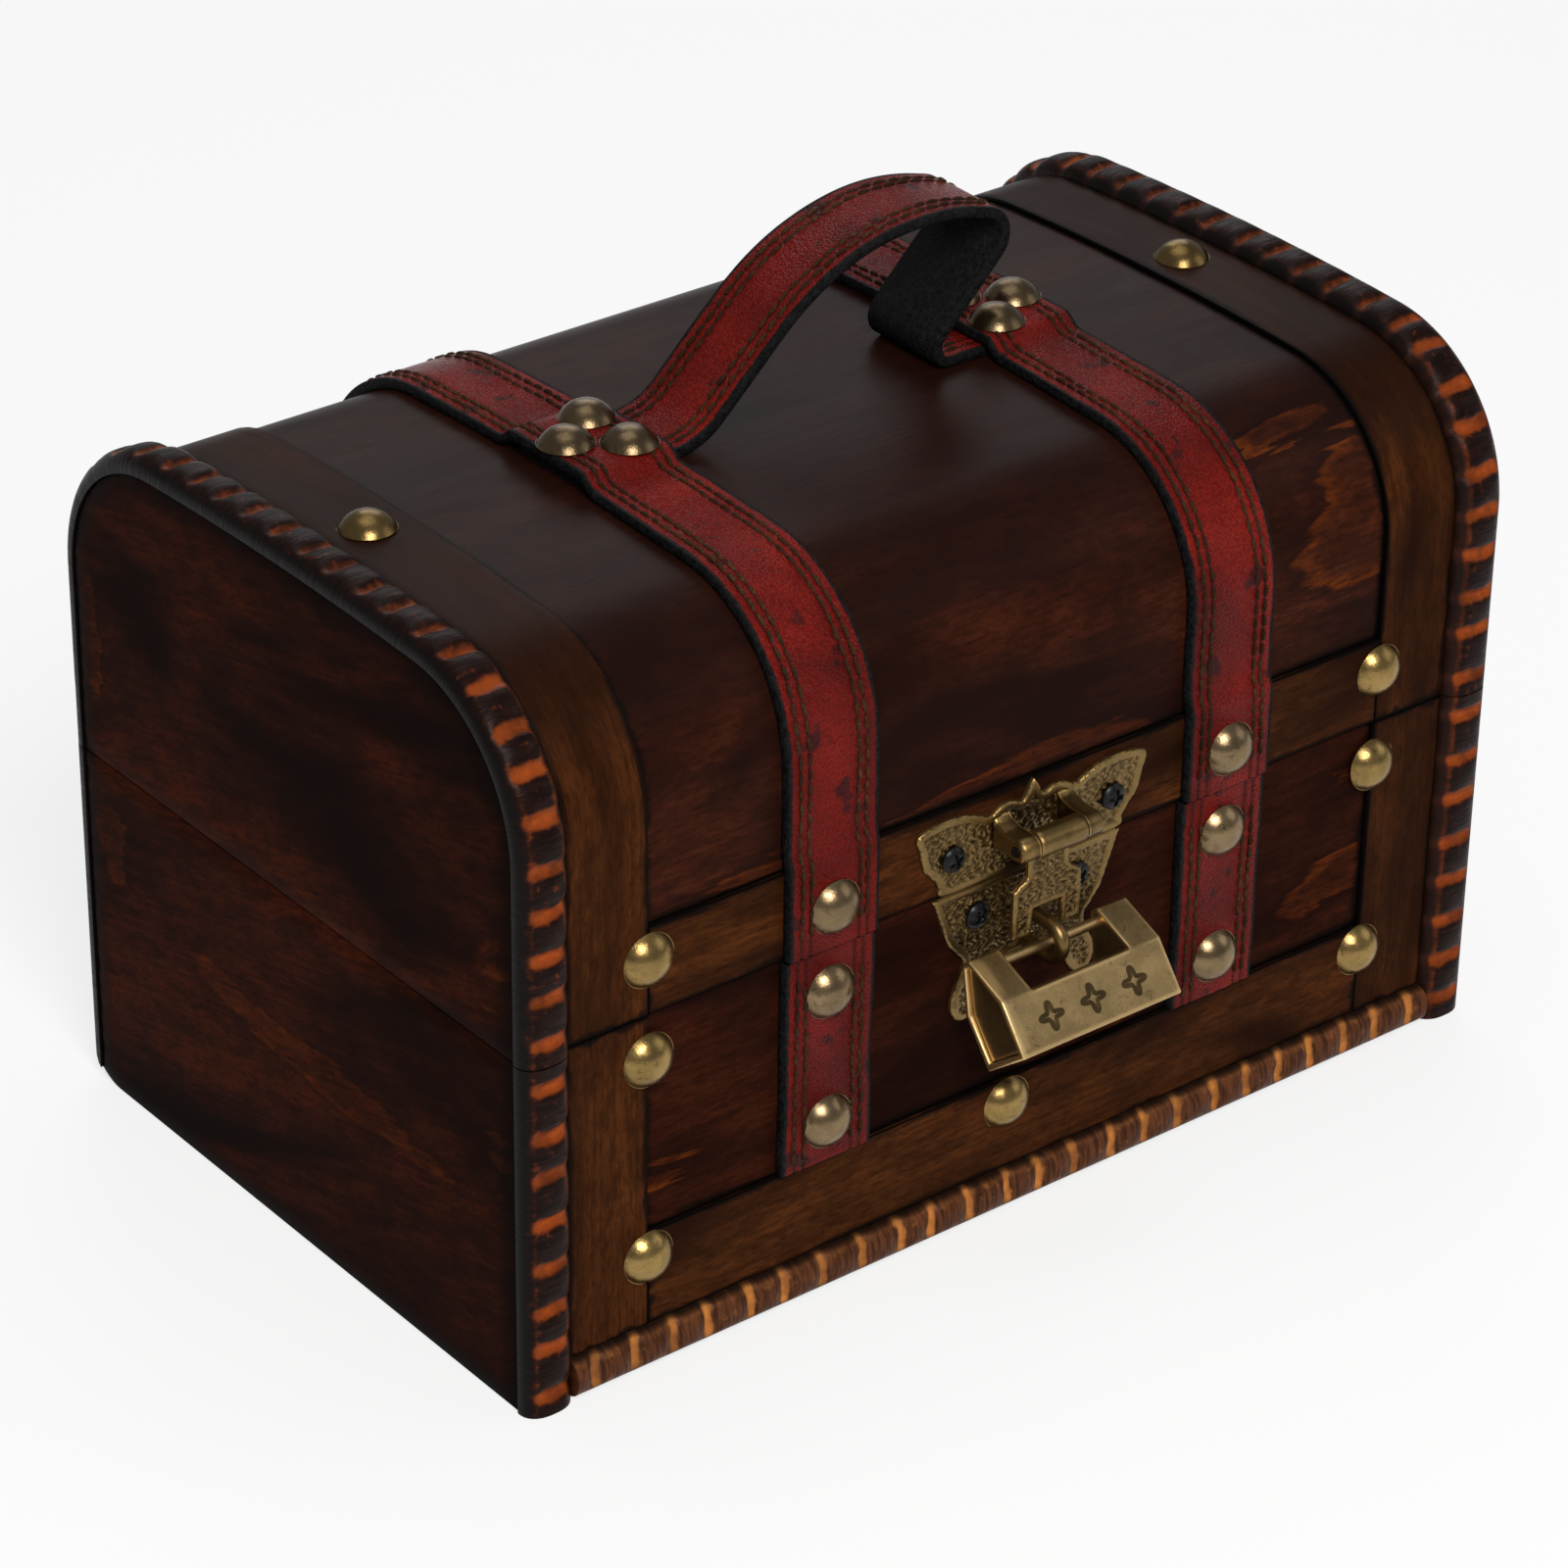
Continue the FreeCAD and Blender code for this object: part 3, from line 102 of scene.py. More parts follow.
class Shader:
    """A procedural material: a node tree around one principled shader."""

    def __init__(self, name):
        self.material = bpy.data.materials.new(name)
        self.material.use_nodes = True
        self.tree = self.material.node_tree
        self.surface = self.tree.nodes["Principled BSDF"]

    def node(self, kind, inputs=None, **settings):
        """Add a node with its settings and inputs, each input a value or a socket."""
        item = self.tree.nodes.new("ShaderNode" + kind)
        for key, value in settings.items():
            setattr(item, key, value)
        for key, value in (inputs or {}).items():
            self.put(item.inputs[key], value)
        return item

    def put(self, socket, value):
        """Link a socket to another one, or set its value."""
        if isinstance(value, bpy.types.NodeSocket):
            self.tree.links.new(value, socket)
        else:
            socket.default_value = (*value, 1.0) if socket.type == "RGBA" else value

    def set(self, **values):
        """Set or link inputs of the principled shader."""
        for key, value in values.items():
            self.put(self.surface.inputs[key.replace("_", " ")], value)

    def attribute(self, name):
        return self.node("Attribute", attribute_name=name).outputs["Fac"]

    def place(self):
        return self.node("TexCoord").outputs["Object"]

    def math(self, kind, a, b):
        return self.node("Math", {0: a, 1: b}, operation=kind).outputs[0]

    def times(self, a, b):
        return self.math("MULTIPLY", a, b)

    def plus(self, a, b):
        return self.math("ADD", a, b)

    def swing(self, value, size):
        """Give a noise as a swing about nought."""
        return self.times(self.math("SUBTRACT", value, 0.5), size)

    def noise(self, vector, scale, detail=3.0, rough=0.5, warp=0.0):
        inputs = {"Vector": vector, "Scale": scale, "Detail": detail, "Roughness": rough, "Distortion": warp}
        return self.node("TexNoise", inputs).outputs["Fac"]

    def grain(self, stretch, squeeze, seed, detail, rough, warp=0.0):
        """Give a noise that runs along the grain coordinates of the mesh."""
        along, across = self.attribute("gx"), self.attribute("gy")
        ways = {0: self.times(along, stretch), 1: self.times(across, squeeze), 2: seed}
        return self.noise(self.node("CombineXYZ", ways).outputs[0], 1.0, detail, rough, warp)

    def span(self, value, low, high, to_low=0.0, to_high=1.0):
        """Give a smooth rise or fall between two values."""
        inputs = {"Value": value, "From Min": low, "From Max": high, "To Min": to_low, "To Max": to_high}
        return self.node("MapRange", inputs, interpolation_type="SMOOTHSTEP").outputs["Result"]

    def ramp(self, value, colours):
        item = self.node("ValToRGB", {"Fac": value})
        elements = item.color_ramp.elements
        while len(elements) < len(colours):
            elements.new(0.5)
        for element, (place, colour) in zip(elements, colours):
            element.position = place
            element.color = (*colour, 1.0)
        return item.outputs["Color"]

    def mix(self, share, a, b):
        return self.node("Mix", {"Factor": share, 6: a, 7: b}, data_type="RGBA").outputs[2]

    def bump(self, height, strength, distance, normal=None):
        inputs = {"Height": height, "Strength": strength, "Distance": distance}
        if normal is not None:
            inputs["Normal"] = normal
        return self.node("Bump", inputs).outputs["Normal"]


def wood(name, deep, body, glow, flame, seed, burn=3.5, gloss=0.34, sheen=0.03, seam=0.8, crisp=1.0):
    """Stained, torched wood: grain along gx, a figure across gy, black at its rims and seams; its top is
    darker as painted shade, and its seams carry painted shadow too.
    """
    s = Shader(name)
    rim, shade = s.attribute("rim"), s.attribute("shade")
    broad = s.grain(11.0, 34.0, seed, 3.0, 0.55, 0.9)
    tongue = s.grain(26.0, 120.0, seed + 3.1, 4.0, 0.6, 1.6)
    streak = s.grain(40.0, 1300.0, seed + 7.7, 3.0, 0.6)
    pore = s.grain(260.0, 3600.0, seed + 1.3, 2.0, 0.5)
    fleck = s.grain(380.0, 1100.0, seed + 5.2, 3.0, 0.65, 0.4)
    blotch = s.grain(95.0, 230.0, seed + 2.4, 4.0, 0.62)

    # The stain's broad figure; painted shade makes it darker and plainer where the face turns up, so upright
    # faces are warmer.
    figure = s.plus(s.times(broad, 0.62), s.times(tongue, 0.38))
    lift = s.times(s.span(broad, 0.32, 0.66), s.span(shade, 0.0, 1.0, 1.0, 0.3))
    lit = s.span(figure, 0.56 - 0.16 * flame, 0.74 - 0.10 * flame)
    lit = s.times(lit, s.span(shade, 0.0, 1.0, 0.4 + 0.6 * flame, 0.1))
    ember = [0.75 * low + 0.25 * high for low, high in zip(body, glow)]
    tone = s.mix(lit, s.mix(lift, deep, body), ember)

    # Torched patches: a charred line, a bright brink inside it, and embers within.
    heat = s.plus(s.attribute("glow"), s.swing(tongue, 0.8))
    brink = s.times(s.span(heat, 0.25, 0.31), s.span(heat, 0.31, 0.46, 1.0, 0.0))
    brink = s.times(brink, s.span(broad, 0.36, 0.62, 0.3 * crisp, crisp))
    char = s.times(s.span(heat, 0.08, 0.24), s.span(heat, 0.24, 0.32, 0.6 * crisp, 0.0))
    tone = s.mix(s.span(heat, 0.20, 0.50, 0.0, 0.5), tone, ember)
    tone = s.mix(brink, tone, glow)
    tone = s.mix(char, tone, deep)

    # Fine grain, mottles and pores.
    tone = s.mix(s.span(streak, 0.35, 0.75), tone, s.mix(0.45, tone, deep))
    tone = s.mix(s.span(fleck, 0.42, 0.66, 0.0, 0.45), tone, deep)
    tone = s.mix(s.span(blotch, 0.38, 0.60, 0.5, 0.0), tone, deep)
    tone = s.mix(s.span(pore, 0.60, 0.74, 0.0, 0.5), tone, PORE)

    # A ragged burn along the rim, and a black line at the seams: partly a dark joint, partly painted shadow
    # of the bands' edges.
    ragged = s.plus(rim, s.swing(tongue, 5.0))
    tone = s.mix(s.span(ragged, 0.2, burn, 0.9, 0.0), tone, BURNT)
    joint_shadow = s.plus(rim, s.swing(broad, 1.4 * seam))
    s.set(Base_Color=s.mix(s.span(joint_shadow, 0.25 * seam, seam, 1.0, 0.0), tone, JOINT_SHADOW_BLACK))

    s.set(Roughness=s.plus(s.times(tongue, 0.16), gloss - 0.06))
    s.set(Specular_IOR_Level=s.span(shade, 0.0, 1.0, 0.35 * sheen, sheen))
    relief = s.plus(s.times(streak, 0.6), s.times(fleck, 0.5))
    s.set(Normal=s.bump(relief, 0.25, 0.0002, s.bump(broad, 0.25, 0.0012)))
    return s.material


def trim_wood(name, pillow, groove, seed):
    """Scorched carved wood: dark pillows, glowing grooves, black edges."""
    s = Shader(name)
    line = s.grain(1500.0, 170.0, seed, 3.0, 0.6)
    patch = s.grain(90.0, 130.0, seed + 4.0, 3.0, 0.6)
    fleck = s.grain(520.0, 520.0, seed + 9.0, 3.0, 0.6)
    tone = s.mix(s.span(line, 0.35, 0.65), pillow, [0.35 * part for part in pillow])
    tone = s.mix(s.span(fleck, 0.58, 0.75, 0.0, 0.3), tone, groove)
    cut = s.plus(s.attribute("groove"), s.swing(fleck, 0.7))
    bright = [min(1.0, 1.5 * part) for part in groove]
    glow = s.mix(s.span(cut, 0.85, 1.1, 0.0, 0.7), groove, bright)
    tone = s.mix(s.times(s.span(cut, 0.15, 0.8), s.span(patch, 0.3, 0.6, 0.4, 1.0)), tone, glow)
    s.set(Base_Color=s.mix(s.attribute("scorch"), tone, SCORCHED), Specular_IOR_Level=0.07)
    s.set(Roughness=s.span(line, 0.2, 0.8, 0.30, 0.48))
    s.set(Normal=s.bump(s.plus(line, s.times(fleck, 0.8)), 0.35, 0.0003))
    return s.material


def leather(name):
    """Red grain leather with dark pressed stitch channels, spots, and black raw edges and underside."""
    s = Shader(name)
    place, raw = s.place(), s.attribute("raw")
    crease = s.node("TexVoronoi", {"Vector": place, "Scale": 1900.0}).outputs["Distance"]
    fold = s.noise(place, 900.0, 4.0, 0.6)
    cloud = s.noise(place, 42.0, 4.0, 0.6, 0.4)
    spot = s.noise(place, 150.0, 2.0, 0.5)
    scuff = s.noise(place, 320.0, 5.0, 0.7, 1.0)
    reds = [(0.28, (0.050, 0.0030, 0.0024)), (0.55, (0.145, 0.0072, 0.0044)), (0.75, (0.225, 0.0135, 0.0068))]
    tone = s.ramp(cloud, reds)
    tone = s.mix(s.span(crease, 0.35, 0.75, 0.0, 0.4), tone, (0.026, 0.0018, 0.0018))
    tone = s.mix(s.span(spot, 0.62, 0.70, 0.0, 0.8), tone, (0.020, 0.0050, 0.0056))
    tone = s.mix(s.span(scuff, 0.64, 0.82, 0.0, 0.3), tone, (0.30, 0.034, 0.022))
    tone = s.mix(s.times(s.attribute("channel"), 0.85), tone, (0.018, 0.0050, 0.0034))
    black = s.mix(s.span(fold, 0.3, 0.75), (0.003, 0.003, 0.003), (0.012, 0.0115, 0.012))
    frayed = s.plus(raw, s.swing(scuff, 0.8))
    s.set(Base_Color=s.mix(s.span(frayed, 0.35, 0.6), tone, black), Specular_IOR_Level=0.06)
    s.set(Roughness=s.mix(raw, s.span(fold, 0.2, 0.8, 0.16, 0.30), s.span(fold, 0.2, 0.8, 0.55, 0.8)))
    fine = s.bump(s.math("SUBTRACT", 1.0, crease), 0.8, 0.0003)
    s.set(Normal=s.bump(fold, 0.6, 0.0003, fine))
    return s.material


def thread(name):
    """Waxed brown thread, twisted along its length."""
    s = Shader(name)
    twist = s.noise(s.place(), 1500.0, 2.0, 0.5, 0.6)
    fade = s.noise(s.place(), 55.0, 3.0, 0.6)
    colour = s.mix(s.span(fade, 0.35, 0.7), (0.026, 0.0115, 0.0052), (0.078, 0.035, 0.0150))
    shadow = s.mix(0.6, colour, (0.01, 0.006, 0.004))
    s.set(Base_Color=s.mix(s.span(twist, 0.4, 0.7), shadow, colour), Specular_IOR_Level=0.06)
    s.set(Roughness=0.75, Normal=s.bump(twist, 0.5, 0.0002))
    return s.material


def brass(name, bright, dark, rough, mottle, reach=0.0):
    """Aged brass, dark in patches and darker where it faces up, as painted shade; with a reach, dark in
    recesses too and bright along its edges, partly from wear and partly as a painted highlight.
    """
    s = Shader(name)
    place = s.place()
    cloud = s.noise(place, 160.0, 4.0, 0.65, 0.5)
    grit = s.noise(place, 2600.0, 3.0, 0.6)
    stain = s.noise(place, 420.0, 5.0, 0.75, 0.8)
    tone = s.mix(s.span(cloud, 0.3, 0.72), s.mix(mottle, bright, dark), bright)
    tone = s.mix(s.span(stain, 0.54, 0.72, 0.0, 0.75), tone, dark)
    tone = s.mix(s.span(grit, 0.56, 0.74, 0.0, 0.45), tone, dark)
    # Painted shade: a piece is darker where it faces up, by its shade value.
    tone = s.mix(s.times(s.attribute("shade"), 0.55), tone, dark)
    if reach:
        tone = s.mix(s.span(s.attribute("proud"), 0.05, 0.75), dark, tone)
        # Bright edges: partly wear, partly a painted highlight along them.
        edge = s.node("AmbientOcclusion", {"Distance": reach}, samples=8, inside=True, only_local=True)
        edge_wear_and_highlight = s.span(edge.outputs["AO"], 0.62, 0.93, 0.85, 0.0)
        tone = s.mix(edge_wear_and_highlight, tone, [min(1.0, 2.0 * part) for part in bright])
    s.set(Base_Color=tone, Metallic=0.95)
    s.set(Roughness=s.plus(s.times(stain, 0.25), rough - 0.10))
    s.set(Normal=s.bump(s.plus(grit, s.times(stain, 0.8)), 0.18, 0.0002))
    return s.material


def blackened(name):
    """Blackened steel with a little wear."""
    s = Shader(name)
    wear = s.noise(s.place(), 1100.0, 3.0, 0.6)
    s.set(Base_Color=s.mix(s.span(wear, 0.6, 0.8), (0.010, 0.010, 0.011), (0.07, 0.068, 0.066)), Metallic=0.7)
    s.set(Roughness=s.span(wear, 0.3, 0.8, 0.28, 0.45), Normal=s.bump(wear, 0.2, 0.0001))
    return s.material


def steel(name):
    """Plain spring steel, drawn along its length."""
    s = Shader(name)
    drawn_out = s.node("Mapping", {"Vector": s.place(), "Scale": (40.0, 900.0, 900.0)})
    draw = s.noise(drawn_out.outputs[0], 1.0, 2.0, 0.5)
    s.set(Base_Color=s.mix(draw, (0.30, 0.29, 0.28), (0.5, 0.49, 0.47)), Metallic=1.0)
    s.set(Roughness=s.span(draw, 0.2, 0.8, 0.25, 0.4))
    return s.material


panel_wood = wood(
    "panel_wood", deep=(0.010, 0.0030, 0.0020), body=(0.047, 0.0112, 0.0046), glow=(0.128, 0.027, 0.0042),
    flame=0.25, seed=2.0, burn=1.8, sheen=0.016, seam=0.6,
)
end_wood = wood(
    "end_wood", deep=(0.0058, 0.0019, 0.0013), body=(0.046, 0.0088, 0.0029), glow=(0.120, 0.024, 0.0034),
    flame=0.30, seed=12.0, burn=7.0, sheen=0.013, crisp=0.45,
)
shell_wood = wood(
    "shell_wood", deep=(0.0110, 0.0038, 0.0028), body=(0.060, 0.0145, 0.0064), glow=(0.128, 0.027, 0.0042),
    flame=0.22, seed=21.0, burn=1.8, sheen=0.034, seam=0.6,
)
band_wood = wood(
    "band_wood", deep=(0.013, 0.0042, 0.0019), body=(0.075, 0.0230, 0.0064), glow=(0.125, 0.033, 0.0064),
    flame=0.55, seed=31.0, burn=1.3, gloss=0.38, sheen=0.028, seam=0.5,
)
inner_wood = wood(
    "inner_wood", deep=(0.030, 0.014, 0.008), body=(0.075, 0.034, 0.016), glow=(0.16, 0.070, 0.028),
    flame=0.2, seed=41.0, burn=1.0, gloss=0.6,
)
rope_wood = trim_wood("rope_wood", (0.013, 0.0042, 0.0028), (0.225, 0.042, 0.0062), 5.0)
foot_wood = trim_wood("foot_wood", (0.105, 0.0350, 0.0135), (0.40, 0.145, 0.0320), 8.0)
red_leather = leather("red_leather")
brown_thread = thread("brown_thread")
nail_brass = brass("nail_brass", (0.36, 0.238, 0.083), (0.060, 0.036, 0.013), 0.22, 0.45)
strap_nail_brass = brass("strap_nail_brass", (0.27, 0.188, 0.100), (0.050, 0.033, 0.017), 0.22, 0.45)
hasp_brass = brass("hasp_brass", (0.235, 0.150, 0.054), (0.030, 0.0170, 0.0062), 0.32, 0.35, 0.0005)
lock_brass = brass("lock_brass", (0.385, 0.264, 0.117), (0.086, 0.053, 0.0205), 0.34, 0.45, 0.0012)
hinge_brass = brass("hinge_brass", (0.26, 0.175, 0.070), (0.055, 0.036, 0.015), 0.36, 0.40)
dark_brass = brass("dark_brass", (0.085, 0.055, 0.022), (0.022, 0.013, 0.006), 0.42, 0.6)
screw_black = blackened("screw_black")
spring_steel = steel("spring_steel")


# Mesh building.

class Shape:
    """A mesh in the making: points, faces, and values for the material; lengths are in millimetres."""

    def __init__(self):
        self.verts, self.faces, self.layers = [], [], {}

    def add(self, point, **values):
        """Add a point with its values, and give its number."""
        self.verts.append(tuple(part * MM for part in point))
        for key, value in values.items():
            self.layers.setdefault(key, []).append(value)
        return len(self.verts) - 1

    def cap(self, begin, size):
        """Close a ring of points with one face."""
        self.faces.append(tuple(range(begin, begin + size)))

    def skirt(self, size, low, high):
        """Join two rings of points by a row of faces."""
        for number in range(size):
            after = (number + 1) % size
            self.faces.append((low + number, low + after, high + after, high + number))

    def rings(self, rows, size, begin=0, tip=None):
        """Join rows of rings one after another, and close the ends, the last one with a tip if it has one."""
        for row in range(rows - 1):
            self.skirt(size, begin + row * size, begin + (row + 1) * size)
        last = begin + (rows - 1) * size
        self.cap(begin, size)
        if tip is None:
            self.cap(last, size)
        else:
            self.faces += [(last + number, last + (number + 1) % size, tip) for number in range(size)]

    def make(self, name, material, body, slot, stands_for=(), sharp=38.0, weld=0.0):
        """Make a piece that rides on a body; edges that turn more than the sharp angle stay crisp."""
        mesh = bpy.data.meshes.new(name)
        mesh.from_pydata(self.verts, [], self.faces)
        for key, values in self.layers.items():
            unit = MM if key in ("gx", "gy") else 1.0
            layer = mesh.attributes.new(key, "FLOAT", "POINT")
            layer.data.foreach_set("value", (np.array(values, float) * unit).astype(np.float32))
        work = bmesh.new()
        work.from_mesh(mesh)
        if weld:
            bmesh.ops.remove_doubles(work, verts=work.verts, dist=weld)
        bmesh.ops.recalc_face_normals(work, faces=work.faces)
        work.to_mesh(mesh)
        work.free()
        mesh.polygons.foreach_set("use_smooth", [True] * len(mesh.polygons))
        mesh.set_sharp_from_angle(angle=math.radians(sharp))
        mesh.materials.append(material)
        piece = bpy.data.objects.new(name, mesh)
        bpy.context.scene.collection.objects.link(piece)
        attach(piece, body)
        if stands_for:
            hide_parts(*stands_for)
        return piece


def smooth(value, low, high):
    """Give 0 below low, 1 above high and an even rise between."""
    share = min(max((value - low) / (high - low), 0.0), 1.0)
    return share * share * (3 - 2 * share)


def even(start, end, step):
    """Give even places from start to end, no further apart than a step."""
    count = max(1, math.ceil((end - start) / step))
    return [start + (end - start) * number / count for number in range(count + 1)]


def stops(low, high, step, near=(0.0, 0.2, 0.45, 0.8, 1.6, 3.0, 5.0, 8.0)):
    """Give places from low to high, closer together near both ends."""
    length = high - low
    ends = [gap for gap in near if gap < length / 2]
    inner = max(ends)
    count = max(1, int((length - 2 * inner) / step))
    places = {inner + (length - 2 * inner) * number / count for number in range(1, count)}
    places.update(ends, (length - gap for gap in ends))
    return [low + place for place in sorted(places)]


def circle(count):
    """Give even directions round a circle, as (cosine, sine) pairs."""
    turns = [2 * math.pi * number / count for number in range(count)]
    return [(math.cos(turn), math.sin(turn)) for turn in turns]


def section(edge, inner, thickness):
    """Give a strip's section as (across, height) pairs, from its right edge and the places on its top."""
    left = [(-across, height) for across, height in edge]
    return left + [(place, thickness) for place in inner] + edge[::-1]


def grained(point, grain):
    """Give a point's places along and across the grain."""
    return {key: np.dot(point, way) for key, way in zip(("gx", "gy"), grain)}


def glow_at(spots, across, up):
    """Give how strongly the wood glows at a place, from long soft spots of warm figure."""
    best = 0.0
    for centre_across, centre_up, long, short, turn, strength in spots:
        x, y = across - centre_across, up - centre_up
        c, r = math.cos(turn), math.sin(turn)
        a, b = (x * c + y * r) / long, (y * c - x * r) / short
        best = max(best, strength * math.exp(-a * a - b * b))
    return best


def board(
    name, low, high, material, body, grain, stands_for, slot="wood_panel", step=9.0, ease=0.8, bend=None,
    glow=(), rim=None,
):
    """Make a flat board with eased edges."""
    axes = [stops(start, end, step) for start, end in zip(low, high)]
    shape, found = Shape(), {}

    def corner(spot):
        """Give the number of the point at a spot of the grid."""
        if spot not in found:
            place = [places[number] for places, number in zip(axes, spot)]
            gaps = sorted(min(at - start, end - at) for at, start, end in zip(place, low, high))
            core = [min(max(at, start + ease), end - ease) for at, start, end in zip(place, low, high)]
            out = Vector(place) - Vector(core)
            if out.length > TINY:
                place = Vector(core) + out.normalized() * ease
            if bend:
                place = bend(place)
            x, y, z = place
            edge = gaps[1]
            if rim:
                edge = rim(x, z) if y < 1 - FACE else UNDERSIDE
            warm = glow_at(glow, x, z) if abs(y) > FACE - 3 else 0.0
            found[spot] = shape.add(place, rim=edge, glow=warm, **grained(place, grain))
        return found[spot]

    for axis in range(3):
        first, second = [other for other in range(3) if other != axis]
        for end in (0, len(axes[axis]) - 1):
            for i in range(len(axes[first]) - 1):
                for j in range(len(axes[second]) - 1):
                    loop = []
                    for a, b in ((i, j), (i + 1, j), (i + 1, j + 1), (i, j + 1)):
                        spot = [0, 0, 0]
                        spot[axis], spot[first], spot[second] = end, a, b
                        loop.append(corner(tuple(spot)))
                    shape.faces.append(loop)
    return shape.make(name, material, body, slot, stands_for)


CORNER_Y = FACE - CORNER
DOME_Z = TOP - DOME
CORNER_Z = DOME_Z + math.sqrt((DOME - CORNER) ** 2 - CORNER_Y**2)
LEAN = math.asin(CORNER_Y / (DOME - CORNER))


def arch_at(distance, offset):
    """Give the point and outward direction on the arch, a distance from the front's low end."""
    upright = CORNER_Z - LID
    radius, dome = CORNER + offset, DOME + offset
    bend = radius * (math.pi / 2 - LEAN)
    half = upright + bend + dome * LEAN
    side = -1.0 if distance <= half else 1.0
    along = distance if distance <= half else 2 * half - distance
    if along <= upright:
        angle = math.pi / 2
        y, z = CORNER_Y + radius, LID + along
    elif along <= upright + bend:
        angle = math.pi / 2 - (along - upright) / radius
        y, z = CORNER_Y + radius * math.sin(angle), CORNER_Z + radius * math.cos(angle)
    else:
        angle = (half - along) / dome
        y, z = dome * math.sin(angle), DOME_Z + dome * math.cos(angle)
    return side * y, z, side * math.sin(angle), math.cos(angle)


def arch_length(offset):
    """Give the length of the arch at an offset."""
    return 2 * (CORNER_Z - LID + (CORNER + offset) * (math.pi / 2 - LEAN) + (DOME + offset) * LEAN)


def arch_strip(
    name, left, right, inner, thickness, material, slot, stands_for, step=3.0, ease=0.35, glow=(), seam=None
):
    """Make a wooden strip that follows the arch; a panel's grain runs across it, a band's along it."""
    half, middle, total = (right - left) / 2, (left + right) / 2, arch_length(inner)
    edge = [
        (half - ease * 0.3, 0.0), (half, ease * 0.4), (half, thickness - ease),
        (half - ease * 0.3, thickness - ease * 0.3),
    ]
    loop = section(edge, even(-half + ease, half - ease, 2.0), thickness)
    stations = stops(0.0, total, step, (0.0, 0.5, 1.5, 3.0))
    shape = Shape()
    for station in stations:
        y, z, out_y, out_z = arch_at(station, inner)
        for across, height in loop:
            on_top = height > thickness - ease
            rim = min(half - abs(across), station, total - station) if on_top else 0.0
            if seam:
                rim = seam(across, station) if height else UNDERSIDE
            ways = (station, left + across)
            gx, gy = ways[::-1] if slot == "wood_panel" else ways
            # shade: how far the face turns up; the wood paints its top darker by it, as painted shade.
            shape.add(
                (middle + across, y + out_y * height, z + out_z * height), rim=rim, gx=gx, gy=gy,
                glow=glow_at(glow, middle + across, station), shade=smooth(out_z, 0.2, 0.95),
            )
    shape.rings(len(stations), len(loop))
    return shape.make(name, material, "lid", slot, stands_for)


# Plates.

def outline_of(points, step=0.6):
    """Give a smooth closed outline through points, in short steps."""
    result = []
    for number in range(len(points)):
        quad = [points[(number + shift) % len(points)] for shift in (-1, 0, 1, 2)]
        a, b, c, d = [np.array(point, float) for point in quad]
        count = max(2, int(np.linalg.norm(c - b) / step))
        for place in range(count):
            t = place / count
            square, cube = 2 * a - 5 * b + 4 * c - d, 3 * b - a - 3 * c + d
            result.append(tuple(0.5 * (2 * b + (c - a) * t + square * t**2 + cube * t**3)))
    return result


def corners(points, step):
    """Give an outline with straight edges cut into even steps."""
    result = []
    for start, end in zip(points, points[1:] + points[:1]):
        count = max(1, int(math.dist(start, end) / step))
        for number in range(count):
            share = number / count
            result.append(tuple(low + (high - low) * share for low, high in zip(start, end)))
    return result


def mirrored(half):
    """Give a closed outline from its right half, top to bottom."""
    return half + [(-x, z) for x, z in reversed(half) if abs(x) > TINY]


def rim_distance(points, outline, closed=True):
    """Give each point's distance from an outline."""
    spots, start = np.array(points, float), np.array(outline, float)
    end = np.roll(start, -1, axis=0)
    if not closed:
        start, end = start[:-1], end[:-1]
    along = end - start
    length = (along**2).sum(axis=1) + 1e-12
    best = np.full(len(spots), np.inf)
    for first, way, size in zip(start, along, length):
        share = np.clip(((spots - first) @ way) / size, 0.0, 1.0)
        gap = np.linalg.norm(spots - (first + share[:, None] * way), axis=1)
        best = np.minimum(best, gap)
    return best


def inside(points, outline):
    """Say which points lie inside an outline."""
    x, y = np.array(points, float).T
    result = np.zeros(len(points), bool)
    for (x1, y1), (x2, y2) in zip(outline, outline[1:] + outline[:1]):
        if y1 != y2:
            result ^= ((y1 > y) != (y2 > y)) & (x < (x2 - x1) * (y - y1) / (y2 - y1) + x1)
    return result


def filled(outline, spacing):
    """Fill an outline with an even mesh: points, triangles and each point's distance from the rim."""
    low, high = np.min(outline, axis=0), np.max(outline, axis=0)
    grid = []
    for row, y in enumerate(np.arange(low[1], high[1], spacing * 0.87)):
        shift = spacing / 2 if row % 2 else 0.0
        grid += [(x + shift, y) for x in np.arange(low[0], high[0], spacing)]
    keep = inside(grid, outline) & (rim_distance(grid, outline) > spacing * 0.6)
    points = [Vector(point) for point in outline]
    points += [Vector(point) for point, kept in zip(grid, keep) if kept]
    edges = [(number, (number + 1) % len(outline)) for number in range(len(outline))]
    spots, _, faces, _, _, _ = delaunay_2d_cdt(points, edges, [], 1, 1e-7)
    flat = [(spot.x, spot.y) for spot in spots]
    return flat, faces, rim_distance(flat, outline)


